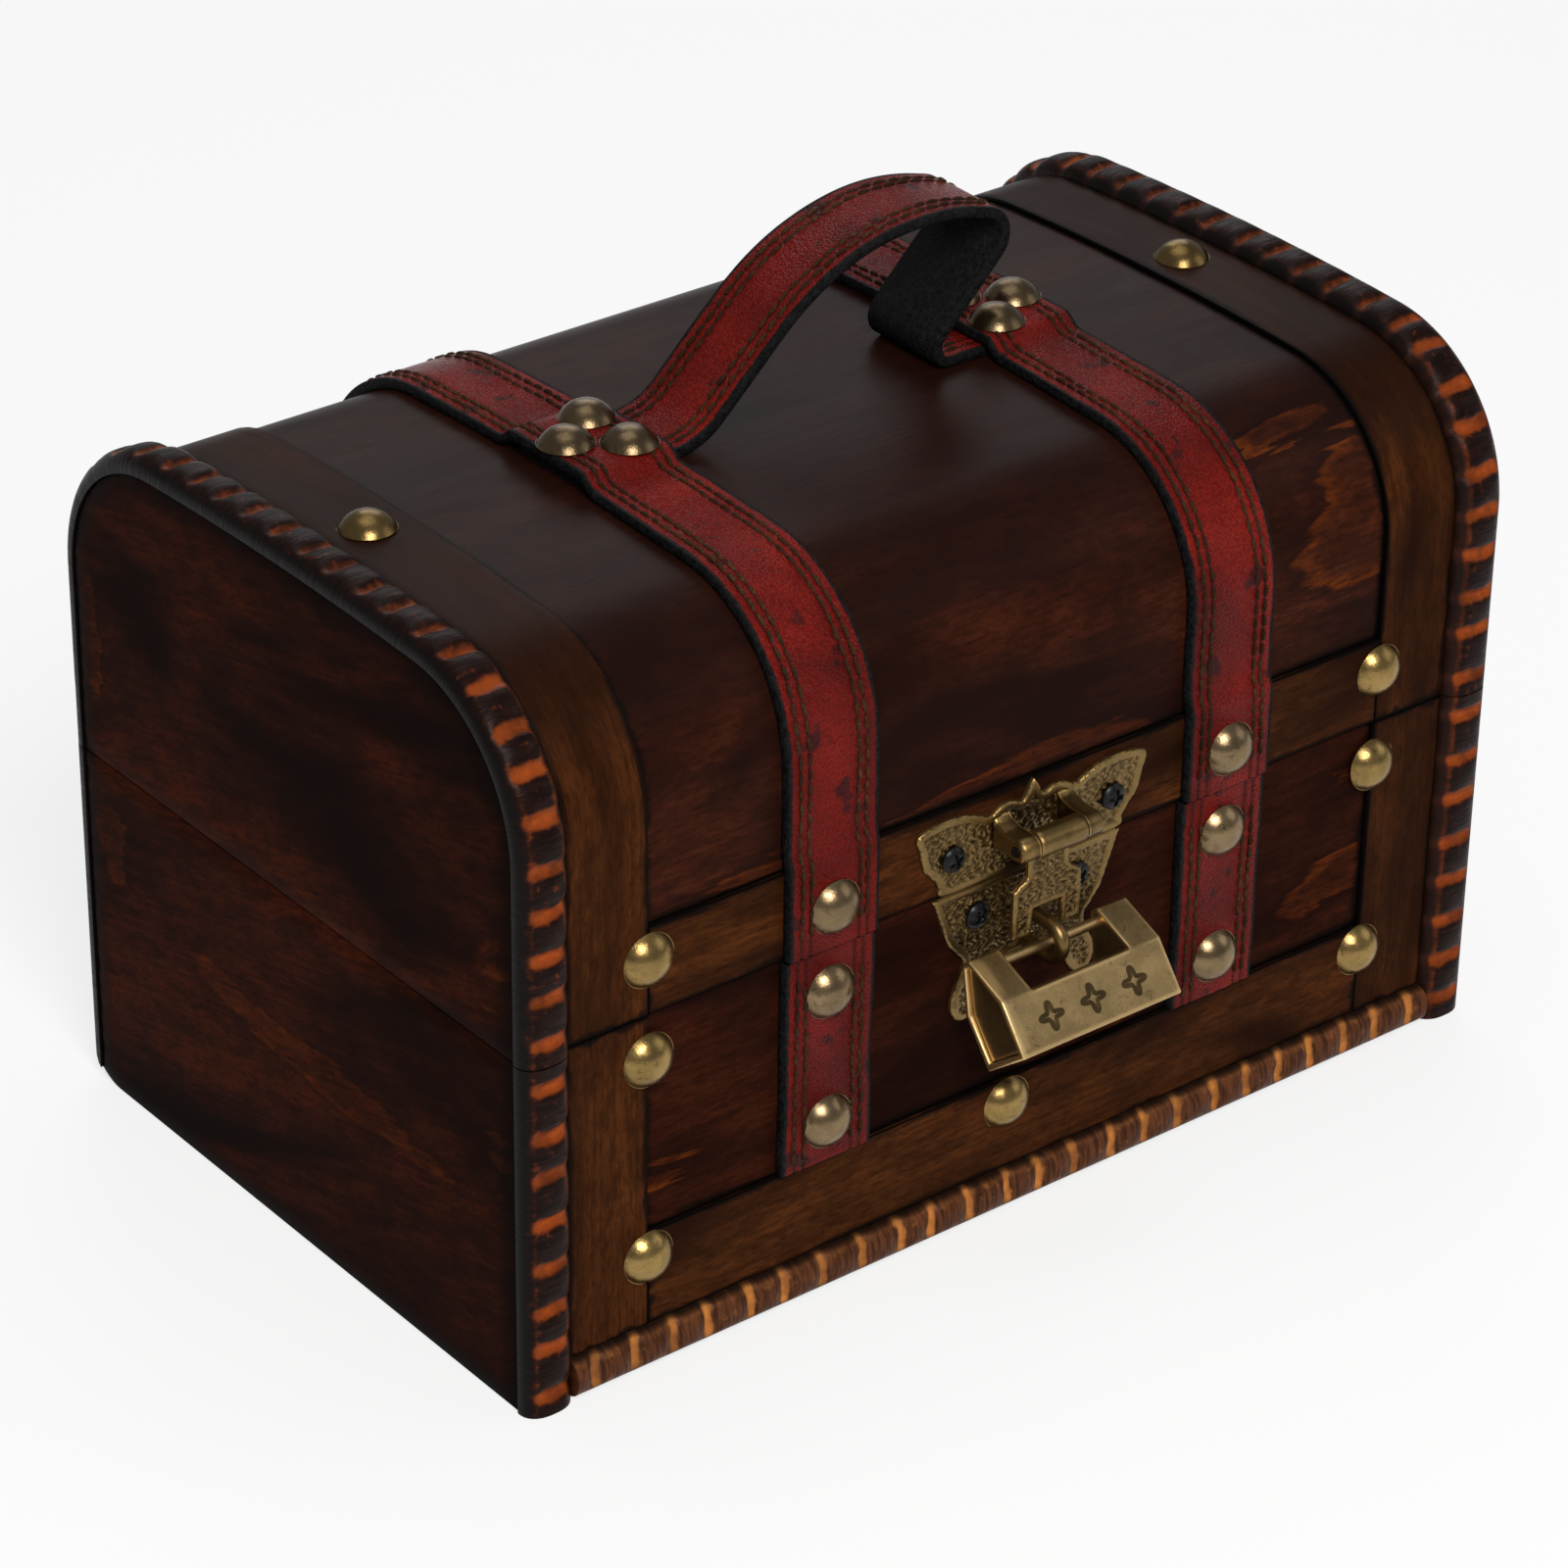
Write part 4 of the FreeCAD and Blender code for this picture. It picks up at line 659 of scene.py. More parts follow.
def plate(
    name, outline, spacing, place, face, material, body, slot, stands_for=(), grain=None, rim_line=None,
    glow=(),
):
    """Make a plate: a filled outline whose face gives height and proudness from the rim's distance."""
    flat, cells, gaps = filled(outline, spacing)
    rims = rim_distance(flat, rim_line, False) if rim_line else gaps
    size = len(outline)
    points = [(spot, rim, face(*spot, gap)) for spot, rim, gap in zip(flat, rims, gaps)]
    points += [(spot, rim, (0.0, 0.3)) for spot, rim in zip(flat[:size], rims)]
    shape = Shape()
    for (across, up), rim, (height, proud) in points:
        point = place(across, up, height)
        values = {"proud": proud, "rim": rim}
        if grain:
            values.update(grained(point, grain), glow=glow_at(glow, point[1], point[2]))
        shape.add(point, **values)
    shape.faces += cells
    shape.skirt(size, 0, len(flat))
    shape.cap(len(flat), size)
    return shape.make(name, material, body, slot, stands_for)


# Boards and bands. Torched spots are (across, up, long, short, turn, strength).

FRONT_GLOW = [
    (80, 40, 20, 6, 0.20, 0.62), (80, 60, 12, 3, 0.0, 0.36), (-78, 38, 16, 8, 0.15, 0.28),
    (14, 28, 24, 5, 0.0, 0.42),
]
BACK_GLOW = [(-30, 40, 30, 6, 0.1, 0.42), (60, 25, 20, 5, -0.1, 0.36)]
ARCH_GLOW = [
    (81, 43, 17, 12, 0.45, 0.74), (66, 58, 16, 2.6, 0.06, 0.46), (-4, 16, 30, 5.5, 0.04, 0.8),
    (-60, 19, 24, 4, 0.1, 0.34),
]
BASE_END_GLOW = [(-4, 39.5, 42, 4, 0.05, 0.6), (58, 55, 6, 9, 0.0, 0.6), (-62, 46, 6, 18, 0.0, 0.3)]
LID_END_GLOW = [(61, 94, 4, 15, 0.0, 0.55), (-60, 86, 8, 12, 0.0, 0.3)]

# The directions along and across the grain.
FRONT_GRAIN = ((1, 0, 0), (0, 0.3, 1))
FLOOR_GRAIN = ((1, 0, 0), (0, 1, 0))
LEVEL_GRAIN = ((1, 0, 0), (0, 0, 1))
UPRIGHT_GRAIN = ((0, 0, 1), (1, 0, 0))
END_TURN = math.radians(14)
END_GRAIN = ((3, math.cos(END_TURN), -math.sin(END_TURN)), (0, math.sin(END_TURN), math.cos(END_TURN)))


def foot_line(depth):
    """Give the height of the base's rounded back foot at a depth."""
    reach = depth - (FACE + TRIM_T - FOOT)
    return FOOT - math.sqrt(max(FOOT**2 - reach**2, 0.0)) if reach > 0 else 0.0


def on_foot(vert):
    """Keep a point above the rounded back foot."""
    return vert[0], vert[1], max(vert[2], foot_line(vert[1]))


def front_rim(x, z):
    """Give the distance from the bands and the split round the front panel."""
    return min(BAND_IN - abs(x), z - BAND_TOP, BASE - z + 0.3)


def arch_seam(x, station):
    """Give the distance from the bands and the low edges round the lid's shell."""
    return min(BAND_IN - abs(x), station - LOW_BAND, arch_length(-SHELL_T) - station)


def end_face(across, up, gap):
    """Give the face of an end board, with its edge eased."""
    return END_T - 0.5 * (1 - min(gap / 0.6, 1.0)) ** 2, 1.0


def make_boards():
    """Make the boards of the base and the lid."""
    board(
        "base_front", (-INNER, -FACE, 0), (INNER, PANEL_T - FACE, BASE), panel_wood, "base", FRONT_GRAIN,
        ["base_front_panel"], step=2.5, glow=FRONT_GLOW, rim=front_rim,
    )
    board(
        "base_back", (-INNER, FACE - PANEL_T, 0), (INNER, FACE, BASE), panel_wood, "base", FRONT_GRAIN,
        ["base_back_panel"], step=2.5, bend=on_foot, glow=BACK_GLOW,
    )
    board(
        "base_floor", (-INNER, PANEL_T - FACE, 0), (INNER, FACE - PANEL_T, FLOOR_T), inner_wood, "base",
        FLOOR_GRAIN, ["base_bottom_panel"],
    )
    arch_strip(
        "lid_arch", -INNER, INNER, -SHELL_T, SHELL_T, shell_wood, "wood_panel", ["lid_shell"], 2.5, 0.5,
        ARCH_GLOW, arch_seam,
    )
    arch = [arch_at(place, 0.0)[:2] for place in even(0.0, arch_length(0.0), 3.0)]
    lid_outline = arch + [(y, LID) for y in even(-FACE, FACE, 6.0)[::-1][1:-1]]
    foot = [(y, foot_line(y)) for y in even(FACE + TRIM_T - FOOT, FACE, 0.8)]
    walls = [(-FACE, BASE), (-FACE, 0.0), *foot, (FACE, BASE)]
    ends = (("base", corners(walls, 3.0), walls, BASE_END_GLOW), ("lid", lid_outline, arch, LID_END_GLOW))
    for side, name in SIDES:

        def place(across, up, height):
            return (side * (INNER + height), across, up)

        for body, outline, rim_line, glow in ends:
            plate(
                f"{body}_{name}_board", outline, 2.6, place, end_face, end_wood, body, "wood_panel",
                [f"{body}_{name}_end"], END_GRAIN, rim_line, glow,
            )


def make_bands():
    """Make the thin bands of the base and the lid."""

    def strip(name, left, right, low, high, body, grain, stands_for):
        box = (left, -FACE - BAND_T, low), (right, -FACE, high)
        board(name, *box, band_wood, body, grain, [stands_for], "wood_band", 6.0, 0.3)

    for side, name in SIDES:
        ends = sorted((side * BAND_IN, side * TRIM_IN))
        strip(f"base_{name}_strip", *ends, BOTTOM_TRIM, BASE, "base", UPRIGHT_GRAIN, f"base_{name}_band")
        arch_strip(f"lid_{name}_strip", *ends, 0.0, BAND_T, band_wood, "wood_band", [f"lid_{name}_band"])
    ends = -BAND_IN, BAND_IN
    strip("base_low_strip", *ends, BOTTOM_TRIM, BAND_TOP, "base", LEVEL_GRAIN, "base_bottom_band")
    strip("lid_low_strip", *ends, LID, LID + LOW_BAND, "lid", LEVEL_GRAIN, "lid_front_band")


# Carved trims.

PITCH = 8.4  # from groove to groove
TRIM_EDGE = 0.8  # the height of a trim's edges
COLUMNS = (0.17, 0.34, 0.5, 0.66, 0.8, 0.9, 0.97, 1.0)
RELIEF_T = 1.8  # a lid trim's thickness at its back end, which passes the base's trim
RELIEF_END, RELIEF_RUN = 12.0, 3.0


def carve(
    name, total, place, material, body, stands_for, seed, outer, width=HALF - TRIM_IN, cut_back=None,
    top_shade_warmth=None, spread=2.3, ground=0.5, hem=0.62,
):
    """Make a carved trim: dark pillows parted by bowed grooves, with its outer edge scorched."""
    dice = random.Random(seed)
    count = round(total / PITCH)
    cuts = []
    for number in range(count):
        middle = total * (number + 0.5) / count + dice.uniform(-0.7, 0.7)
        cuts.append((middle, dice.uniform(-0.6, 1.0), dice.uniform(0.75, 1.1)))
    stations = even(0.0, total, 0.6)
    columns = [-column for column in reversed(COLUMNS)] + [0.0, *COLUMNS]
    loop = [(-1.0, False), *((column, True) for column in columns), (1.0, False)]
    shape = Shape()
    for station in stations:
        ceiling = cut_back(station) if cut_back else TRIM_T
        # warm: how much groove colour a station keeps; on the lid it is lower on the top, as painted shade.
        warm = top_shade_warmth(station) if top_shade_warmth else 1.0
        for column, raised in loop:
            side, across = outer * column, column * width / 2
            height, tint, scorch = 0.0, 0.0, 1.0
            if raised:
                drift = 0.5 * noise.noise(Vector((station * 0.3, column * 1.5, seed)))
                at, curve = station + drift, column**2 - 0.4
                nearest, depth = min((abs(at - cut - bow * curve), deep) for cut, bow, deep in cuts)
                carved = 1 - smooth(side, 0.30, 0.80)
                dip = math.exp(-((nearest / 1.05) ** 2)) * depth * carved
                crown = (1 - abs(column) ** 2.6) ** 0.55
                pillow = 1 - 0.14 * carved * math.exp(-((nearest / 2.4) ** 2))
                height = TRIM_EDGE + (TRIM_T - TRIM_EDGE) * crown * pillow * (1 - 0.34 * dip)
                groove = 1 - smooth(nearest, 0.35, spread)
                ring = ground * (1 - smooth(1 - abs(column), 0.22, 0.60))
                tint = max(groove, ring) * (1 - 0.85 * smooth(side, 0.50, 0.90)) * warm
                scorch = 0.97 * max(smooth(side, 0.68, 0.93), 0.94 * smooth(-side, hem, hem + 0.2))
            point = place(station, across, min(height, ceiling))
            shape.add(point, groove=tint, scorch=scorch, gx=station, gy=across + seed * 13)
    shape.rings(len(stations), len(loop))
    return shape.make(name, material, body, "wood_trim", stands_for, 60.0)


def make_trims():
    """Make every carved trim."""
    total = arch_length(TRIM_T)
    for side, name in SIDES:
        middle = side * (HALF + TRIM_IN) / 2
        for facing, end in ((-1, "front"), (1, "back")):
            low = foot_line(FACE) if facing > 0 else 0.0

            def upright(station, across, height):
                return (middle + across, facing * (FACE + height), low + station)

            def foot(station):
                up = FOOT - low - station
                if facing < 0 or up <= 0:
                    return TRIM_T
                return max(0.05, math.sqrt(FOOT**2 - up**2) + TRIM_T - FOOT)

            carve(
                f"base_{name}_{end}_rope", BASE - low, upright, rope_wood, "base",
                [f"base_{name}_{end}_trim"], 17 + 3 * side + facing, side, cut_back=foot,
            )

        def over(station, across, height):
            y, z, out_y, out_z = arch_at(station, TRIM_T)
            drop = TRIM_T - height
            return (middle + across, y - out_y * drop, z - out_z * drop)

        def relief(station):
            share = min(max(total - station - RELIEF_END, 0.0) / RELIEF_RUN, 1.0)
            return RELIEF_T + share * (TRIM_T - RELIEF_T)

        # Painted shade: the grooves lose most of their colour on the top of the lid.
        def top_shade_warmth(station):
            return 1.0 - 0.6 * smooth(station, 55.0, 95.0) * smooth(total - station, 55.0, 95.0)

        carve(
            f"lid_{name}_rope", total, over, rope_wood, "lid", [f"lid_{name}_trim"], 31 + side, side,
            cut_back=relief, top_shade_warmth=top_shade_warmth,
        )

    def along(station, across, height):
        return (station - TRIM_IN, -FACE - height, BOTTOM_TRIM / 2 + across)

    carve(
        "base_foot_rope", 2 * TRIM_IN, along, foot_wood, "base", ["base_bottom_trim"], 53, -1, BOTTOM_TRIM,
        spread=1.3, ground=0.3, hem=0.77,
    )


# Leather.

ROWS = (2.6, 4.5)  # the rows of stitches, from a strip's edge
LEATHER_EASE = 0.45
STITCH_R = 0.44
STITCH_LENGTH, STITCH_GAP = (2.2, 2.7), (0.35, 0.6)
STITCH_ROOM = 2.6  # what a row's last stitch needs
STITCH_SHARES = (-1.0, -0.8, -0.35, 0.35, 0.8, 1.0)
STITCH_RING = circle(6)
BASE_STRAP = (26.8, 69.7)  # the low and high ends of the base's strap pieces
BASE_STITCHES = (28.0, 66.0)
STRAP_END = 0.3  # the lid straps stop short of the low edges
STEP_LOW, STEP_HIGH = LID + 17.3, LID + 21.3  # where a lid strap leaves the low band
HANDLE_NEAR, HANDLE_FAR = HANDLE_W / 2 + 0.3, HANDLE_W / 2 + 4.3  # where it leaves the handle's end
HANDLE_TUCK = 18.0  # the length of handle under a strap
HANDLE_RISE, HANDLE_RETURN = 7.2, 20.5  # where it lifts off at the left, and meets the top at the right
HANDLE_BEND = ((-3.0, 24.5), (20.0, 32.5), (44.5, 25.5))  # its corners between, above the top
HANDLE_RADII = (15.0, 45.0, 45.0, 5.0, 3.2)


def leather_strip(name, stations, frame_at, width, thickness, body, stands_for, seed, wobble=0.25):
    """Make a leather strip along stations, with wavering edges and stitch channels on its top."""
    half = width / 2
    edge = [
        (half - 0.3, 0.0), (half, 0.35), (half + 0.06, thickness * 0.5), (half, thickness - LEATHER_EASE),
        (half - 0.18, thickness - 0.12),
    ]
    inner = set(even(-half + LEATHER_EASE, half - LEATHER_EASE, 1.1))
    for row in ROWS:
        inner.update(side * (half - row + shift) for side in (-1, 1) for shift in (-0.5, 0.0, 0.5))
    loop = section(edge, sorted(inner), thickness)
    shape = Shape()
    for station in stations:
        base, side_way, out = frame_at(station)
        for across, height in loop:
            wave = wobble * noise.noise(Vector((station * 0.055, seed, math.copysign(3.0, across))))
            spread = across + wave * (abs(across) / half) ** 3
            raw, dip = 1.0, 0.0
            if height == thickness:
                dip = max(math.exp(-(((abs(across) - (half - row)) / 0.35) ** 2)) for row in ROWS)
                bulge = 0.12 * (1 - (across / half) ** 2)
                sag = 0.10 * noise.noise(Vector((station * 0.12, across * 0.2, seed)))
                height = min(height - 0.22 * dip - 0.12 + bulge + sag, thickness)
                raw = 0.75 * (1 - smooth(half - abs(across), 0.3, 1.5))
            shape.add(base + side_way * spread + out * max(0.0, height), raw=raw, channel=dip)
    shape.rings(len(stations), len(loop))
    return shape.make(name, red_leather, body, "leather", stands_for, 50.0)


def stitching(name, start, end, frame_at, width, thickness, body, seed):
    """Make the rows of thread: short raised stitches laid end to end in their channels."""
    dice = random.Random(seed)
    shape = Shape()

    def stitch(place, length, across, slant):
        begin = len(shape.verts)
        for share in STITCH_SHARES:
            base, side_way, out = frame_at(place + length * (share + 1) / 2)
            radius = STITCH_R * math.sqrt(max(0.05, 1 - abs(share) ** 3))
            height = thickness - 0.20 + 0.14 * (1 - share * share)
            centre = base + side_way * (across + slant * share) + out * height
            for c, s in STITCH_RING:
                shape.add(centre + side_way * (radius * c) + out * (radius * s))
        shape.rings(len(STITCH_SHARES), len(STITCH_RING), begin)

    for side in (-1, 1):
        for row in ROWS:
            place = start + dice.uniform(0.4, 1.4)
            while place + STITCH_ROOM < end:
                length = dice.uniform(*STITCH_LENGTH)
                drift = 0.55 * noise.noise(Vector((place * 0.07, seed + row, side * 5.0)))
                across = side * (width / 2 - row) + drift + dice.uniform(-0.12, 0.12)
                stitch(place, length, across, dice.uniform(-0.16, 0.16))
                place += length + dice.uniform(*STITCH_GAP)
    return shape.make(name, brown_thread, body, "leather", (), 80.0)


def rounded(points, radii):
    """Give a line through points with rounded corners, as pairs of spots and directions."""
    spots = [Vector(point) for point in points]
    line = [(spots[0], (spots[1] - spots[0]).normalized())]
    for spot, earlier, later, radius in zip(spots[1:], spots, spots[2:], radii):
        before, after = (spot - earlier).normalized(), (later - spot).normalized()
        turn = math.atan2(before.x * after.y - before.y * after.x, before.dot(after))
        enter = spot - before * (radius * math.tan(abs(turn) / 2))
        centre = enter + Vector((-before.y, before.x)) * math.copysign(radius, turn)
        steps = max(3, int(abs(turn) * radius / 0.9))
        for step in range(steps + 1):
            spin = Matrix.Rotation(turn * step / steps, 2)
            line.append((centre + spin @ (enter - centre), spin @ before))
    line.append((spots[-1], (spots[-1] - spots[-2]).normalized()))
    return line


def handle_route():
    """Give the handle's middle line in close steps, and each step's distance along it."""
    lying = TOP + HANDLE_T / 2
    edge = STRAP_X - STRAP_W / 2
    tuck = edge + HANDLE_TUCK
    bend = [(along, TOP + up) for along, up in HANDLE_BEND]
    points = [(-tuck, lying), (-edge + HANDLE_RISE, lying), *bend, (HANDLE_RETURN, lying), (tuck, lying)]
    line = rounded(points, HANDLE_RADII)
    dense, places = [line[0]], [0.0]
    for (spot, way), (following, next_way) in zip(line, line[1:]):
        steps = max(1, int((following - spot).length / 1.6))
        for step in range(1, steps + 1):
            share = step / steps
            dense.append((spot.lerp(following, share), way.lerp(next_way, share).normalized()))
            places.append(places[-1] + (dense[-1][0] - dense[-2][0]).length)
    return dense, places


def make_leather():
    """Make the straps, the handle and their stitching."""
    total = arch_length(0.0)
    strap = STRAP_W, STRAP_T
    for side, name in SIDES:
        middle = side * STRAP_X

        def over(station):
            y, z, out_y, out_z = arch_at(min(max(station, 0.0), total), 0.0)
            offset = 0.0
            if y < 0 and z < CORNER_Z:
                offset = BAND_T * (1 - smooth(z, STEP_LOW, STEP_HIGH))
            if z > TOP - 8:
                offset = HANDLE_LIFT * (1 - smooth(abs(y), HANDLE_NEAR, HANDLE_FAR))
            out = Vector((0, out_y, out_z))
            return Vector((middle, y, z)) + out * offset, Vector((1, 0, 0)), out

        def down(station):
            return Vector((middle, -FACE, station)), Vector((1, 0, 0)), Vector(FRONT)

        start, end = STRAP_END, total - STRAP_END
        stations = even(start, end, 1.3)
        leather_strip(f"lid_{name}_leather", stations, over, *strap, "lid", [f"lid_{name}_strap"], 4.0 + side)
        stitching(f"lid_{name}_stitches", start + 3.0, end - 4.0, over, *strap, "lid", 40 + side)
        stations = even(*BASE_STRAP, 1.1)
        leather_strip(
            f"base_{name}_leather", stations, down, *strap, "base", [f"base_{name}_strap"], 9.0 + side, 0.5
        )
        stitching(f"base_{name}_stitches", *BASE_STITCHES, down, *strap, "base", 50 + side)
    dense, places = handle_route()

    def bent(station):
        station = min(max(station, 0.0), places[-1] - TINY)
        number = min(int(np.searchsorted(places, station, side="right") - 1), len(dense) - 2)
        share = (station - places[number]) / max(places[number + 1] - places[number], 1e-9)
        (spot, way), (following, next_way) = dense[number : number + 2]
        spot, way = spot.lerp(following, share), way.lerp(next_way, share).normalized()
        out = Vector((-way.y, 0, way.x))
        return Vector((spot.x, 0, spot.y)) - out * (HANDLE_T / 2), Vector(FRONT), out

    handle = HANDLE_W, HANDLE_T
    leather_strip("lid_grip", places, bent, *handle, "lid", ["lid_handle"], 15.0, 0.3)
    stitching("lid_grip_stitches", 20.0, places[-1] - 20.0, bent, *handle, "lid", 60)


# Nails and screws.

NAIL_R, NAIL_H, NAIL_EDGE = 5.25, 3.3, 0.18
NAIL_SINK, NAIL_DENT, NAIL_TILT = 0.08, 0.10, 2.0
NAIL_RING = circle(36)
NAIL_SPHERE = (NAIL_R**2 + NAIL_H**2) / (2 * NAIL_H)
NAIL_SHARES = (0.985, 0.94, 0.86, 0.75, 0.62, 0.47, 0.3, 0.14)
CROSS_ARM, CROSS_SLIM, CROSS_DEEP = 0.64, 0.17, 0.62  # shares of a screw head's radius and height
HEAD_ROUND, HEAD_EDGE = 3.2, 0.3
PLATE_T = 1.0  # the butterfly plates
UPPER_Y, LOWER_Y = -FACE - BAND_T, -FACE  # the planes that they lie on

# The heights and places of the seats.
LOW_NAIL, HIGH_NAIL, LID_NAIL = 21.5, BASE - 8.6, LID + 10.7
MIDDLE_NAIL = -3.0
STRAP_NAILS, LID_STRAP_NAIL = (61.2, 34.8), LID + 8.2
GRIP_NAILS = ((STRAP_X - 3.8, -6.2), (STRAP_X - 3.8, 6.2), (STRAP_X + 5.2, 0.0))
UPPER_SCREW, LOWER_SCREW = (18.2, LID + 7.3), (11.4, BASE - 6.5)
HINGE_X, HINGE_Z, LEAF_T = 68.9, (BASE + LID) / 2, 0.8
HINGE_SCREW = (5.0, 7.0)


def set_on(outward):
    """Give the turn that sets a head drawn upright on a face."""
    return Vector((0, 0, 1)).rotation_difference(Vector(outward)).to_matrix()


def domes(name, seats, material, body, stands_for, seed):
    """Make hand-set domed nails on their seats, each a little out of true."""
    dice = random.Random(seed)
    profile = [(1.0, 0.0), (1.0, NAIL_EDGE)]
    for share in NAIL_SHARES:
        rise = math.sqrt(NAIL_SPHERE**2 - (NAIL_R * share) ** 2) - (NAIL_SPHERE - NAIL_H)
        profile.append((share, rise))
    shape = Shape()
    for seat, outward in seats:
        # Nails are painted darker the more they face up: painted shade.
        seat, spin, facing_up_shade = Vector(seat), set_on(outward), max(0.0, outward[2])
        tilt = Matrix.Rotation(math.radians(dice.uniform(-NAIL_TILT, NAIL_TILT)), 3, "X")
        turn = Matrix.Rotation(dice.uniform(0, 6.28), 3, "Z")
        offset = dice.uniform(0, 50)
        begin = len(shape.verts)
        for share, rise in profile:
            for c, s in NAIL_RING:
                point = Vector((NAIL_R * share * c, NAIL_R * share * s, rise))
                spot = Vector((point.x * 0.45 + offset, point.y * 0.45, 1.0))
                dent = noise.noise(spot) * NAIL_DENT * (1 - share)
                point.z = max(0.0, point.z + dent - NAIL_SINK)
                shape.add(seat + spin @ (tilt @ (turn @ point)), shade=facing_up_shade)
        tip = shape.add(seat + spin @ Vector((0, 0, NAIL_H - NAIL_SINK)), shade=facing_up_shade)
        shape.rings(len(profile), len(NAIL_RING), begin, tip)
    return shape.make(name, material, body, "nail_brass", stands_for, 60.0)


def screws(
    name, seats, body, stands_for, seed, radius=2.5, height=1.3, slot="black_screw", material=screw_black
):
    """Make pan-head screws with a pressed cross recess."""
    dice = random.Random(seed)
    ring = [(radius * c, radius * s) for c, s in circle(64)]
    flat, cells, _ = filled(ring, radius * 0.055)
    arm, slim = CROSS_ARM * radius, CROSS_SLIM * radius
    shape = Shape()
    for seat, outward in seats:
        spin = set_on(outward) @ Matrix.Rotation(dice.uniform(0, 1.5), 3, "Z")
        begin = len(shape.verts)
        for x, y in flat:
            share = min(math.hypot(x, y) / radius, 1.0)
            rise = height * (1 - share**HEAD_ROUND) + HEAD_EDGE * height * share**HEAD_ROUND
            thin, wide = sorted((abs(x), abs(y)))
            cut = (1 - smooth(wide, 0.85 * arm, arm)) * (1 - smooth(thin, 0.7 * slim, 1.2 * slim))
            shape.add(Vector(seat) + spin @ Vector((x, y, rise - CROSS_DEEP * height * cut)))
        low = len(shape.verts)
        for x, y in ring:
            shape.add(Vector(seat) + spin @ Vector((x, y, 0.0)))
        shape.faces += [tuple(begin + index for index in cell) for cell in cells]
        shape.skirt(len(ring), begin, low)
        shape.cap(low, len(ring))
    return shape.make(name, material, body, slot, stands_for, 35.0)


def dome_seat(along, across, offset):
    """Give a seat on the domed top."""
    angle = math.asin(across / DOME)
    out = (0, math.sin(angle), math.cos(angle))
    return (along, (DOME + offset) * out[1], DOME_Z + (DOME + offset) * out[2]), out


def pairs(x, y, *levels, outward=FRONT):
    """Give seats at both sides of the middle, at one or more levels."""
    return [((side * x, y, level), outward) for side in (-1, 1) for level in levels]


def make_fasteners():
    """Make the nails on bands, straps and handle, and the screws of the hasp and the hinges."""
    seats = pairs(BAND_IN, UPPER_Y, HIGH_NAIL, LOW_NAIL) + [((MIDDLE_NAIL, UPPER_Y, LOW_NAIL), FRONT)]
    domes("base_band_domes", seats, nail_brass, "base", ["base_band_nails"], 3)
    seats = pairs(STRAP_X, -FACE - STRAP_T, *STRAP_NAILS)
    domes("base_strap_domes", seats, strap_nail_brass, "base", ["base_strap_nails"], 4)
    middle = (BAND_IN + TRIM_IN) / 2
    seats = pairs(BAND_IN, UPPER_Y, LID_NAIL) + [dome_seat(x, 0.0, BAND_T) for x in (-middle, middle)]
    domes("lid_band_domes", seats, nail_brass, "lid", ["lid_band_nails"], 5)
    seats = pairs(STRAP_X, UPPER_Y - STRAP_T, LID_STRAP_NAIL)
    seats += pairs(STRAP_X, FACE + STRAP_T, LID_STRAP_NAIL, outward=BACK)
    domes("lid_strap_domes", seats, strap_nail_brass, "lid", ["lid_strap_nails"], 6)
    seats = [dome_seat(side * x, y, HANDLE_LIFT + STRAP_T) for side in (-1, 1) for x, y in GRIP_NAILS]
    domes("grip_domes", seats, strap_nail_brass, "lid", ["handle_nails"], 7)

    x, z = UPPER_SCREW
    screws("hasp_upper_screw_heads", pairs(x, UPPER_Y - PLATE_T, z), "lid", ["hasp_upper_screws"], 8)
    x, z = LOWER_SCREW
    screws("hasp_lower_screw_heads", pairs(x, LOWER_Y - PLATE_T, z), "base", ["hasp_lower_screws"], 9)
    apart, rise = HINGE_SCREW
    for z, body, name in ((HINGE_Z + rise, "lid", "upper"), (HINGE_Z - rise, "base", "lower")):
        places = [hinge + x for hinge in (-HINGE_X, HINGE_X) for x in (-apart, apart)]
        seats = [((x, FACE + LEAF_T, z), BACK) for x in places]
        screws(f"hinge_{name}_screw_heads", seats, body, (), 10, 1.6, 0.7, "hinge_brass", hinge_brass)


# Hasp.

UPPER_HALF = [
    (0, 87.2), (1.2, 85.6), (2.4, 83.7), (4.8, 84.5), (7.2, 84.3), (9.9, 83.1), (12.5, 84.2), (16, 85.3),
    (21, 85.5), (25.9, 84.2), (25.2, 80.5), (24.2, 76.9), (22.3, 74.8), (20.8, 72.5), (20.4, 70.75),
    (10, 70.65), (0, 70.65),
]
LOWER_HALF = [
    (0, 69.65), (10, 69.65), (20.6, 69.6), (20.9, 68.5), (19.1, 63.5), (17.4, 59.3), (15.4, 56.7),
    (13.8, 54.0), (16.4, 47.8), (15.9, 43.9), (13.7, 42.7), (11, 44.2), (8, 50.0), (4, 52.3), (0, 52.4),
]
FLAP_HALF = [
    (0, 77.6), (4.6, 77.6), (4.6, 71.3), (5.4, 70.4), (7.7, 68.9), (7.75, 64), (7.7, 59.4), (5.4, 59.25),
    (3.35, 59.3), (3.25, 62), (3.2, 64.3), (1.6, 64.45), (0, 64.45),
]
FLAP_Y = -71.6
PIN_Y, PIN_Z = -74.2, 78.8
EAR_R, EAR_T, EAR_IN = 2.35, 3.9, 5.5
EAR_ROOT, EAR_WAIST, EAR_NECK = -67.6, -68.6, -71.0
BARREL_HALF = [(-5.3, 2.0), (-5.25, 2.35), (-5.0, 2.58), (-4.0, 2.6)]
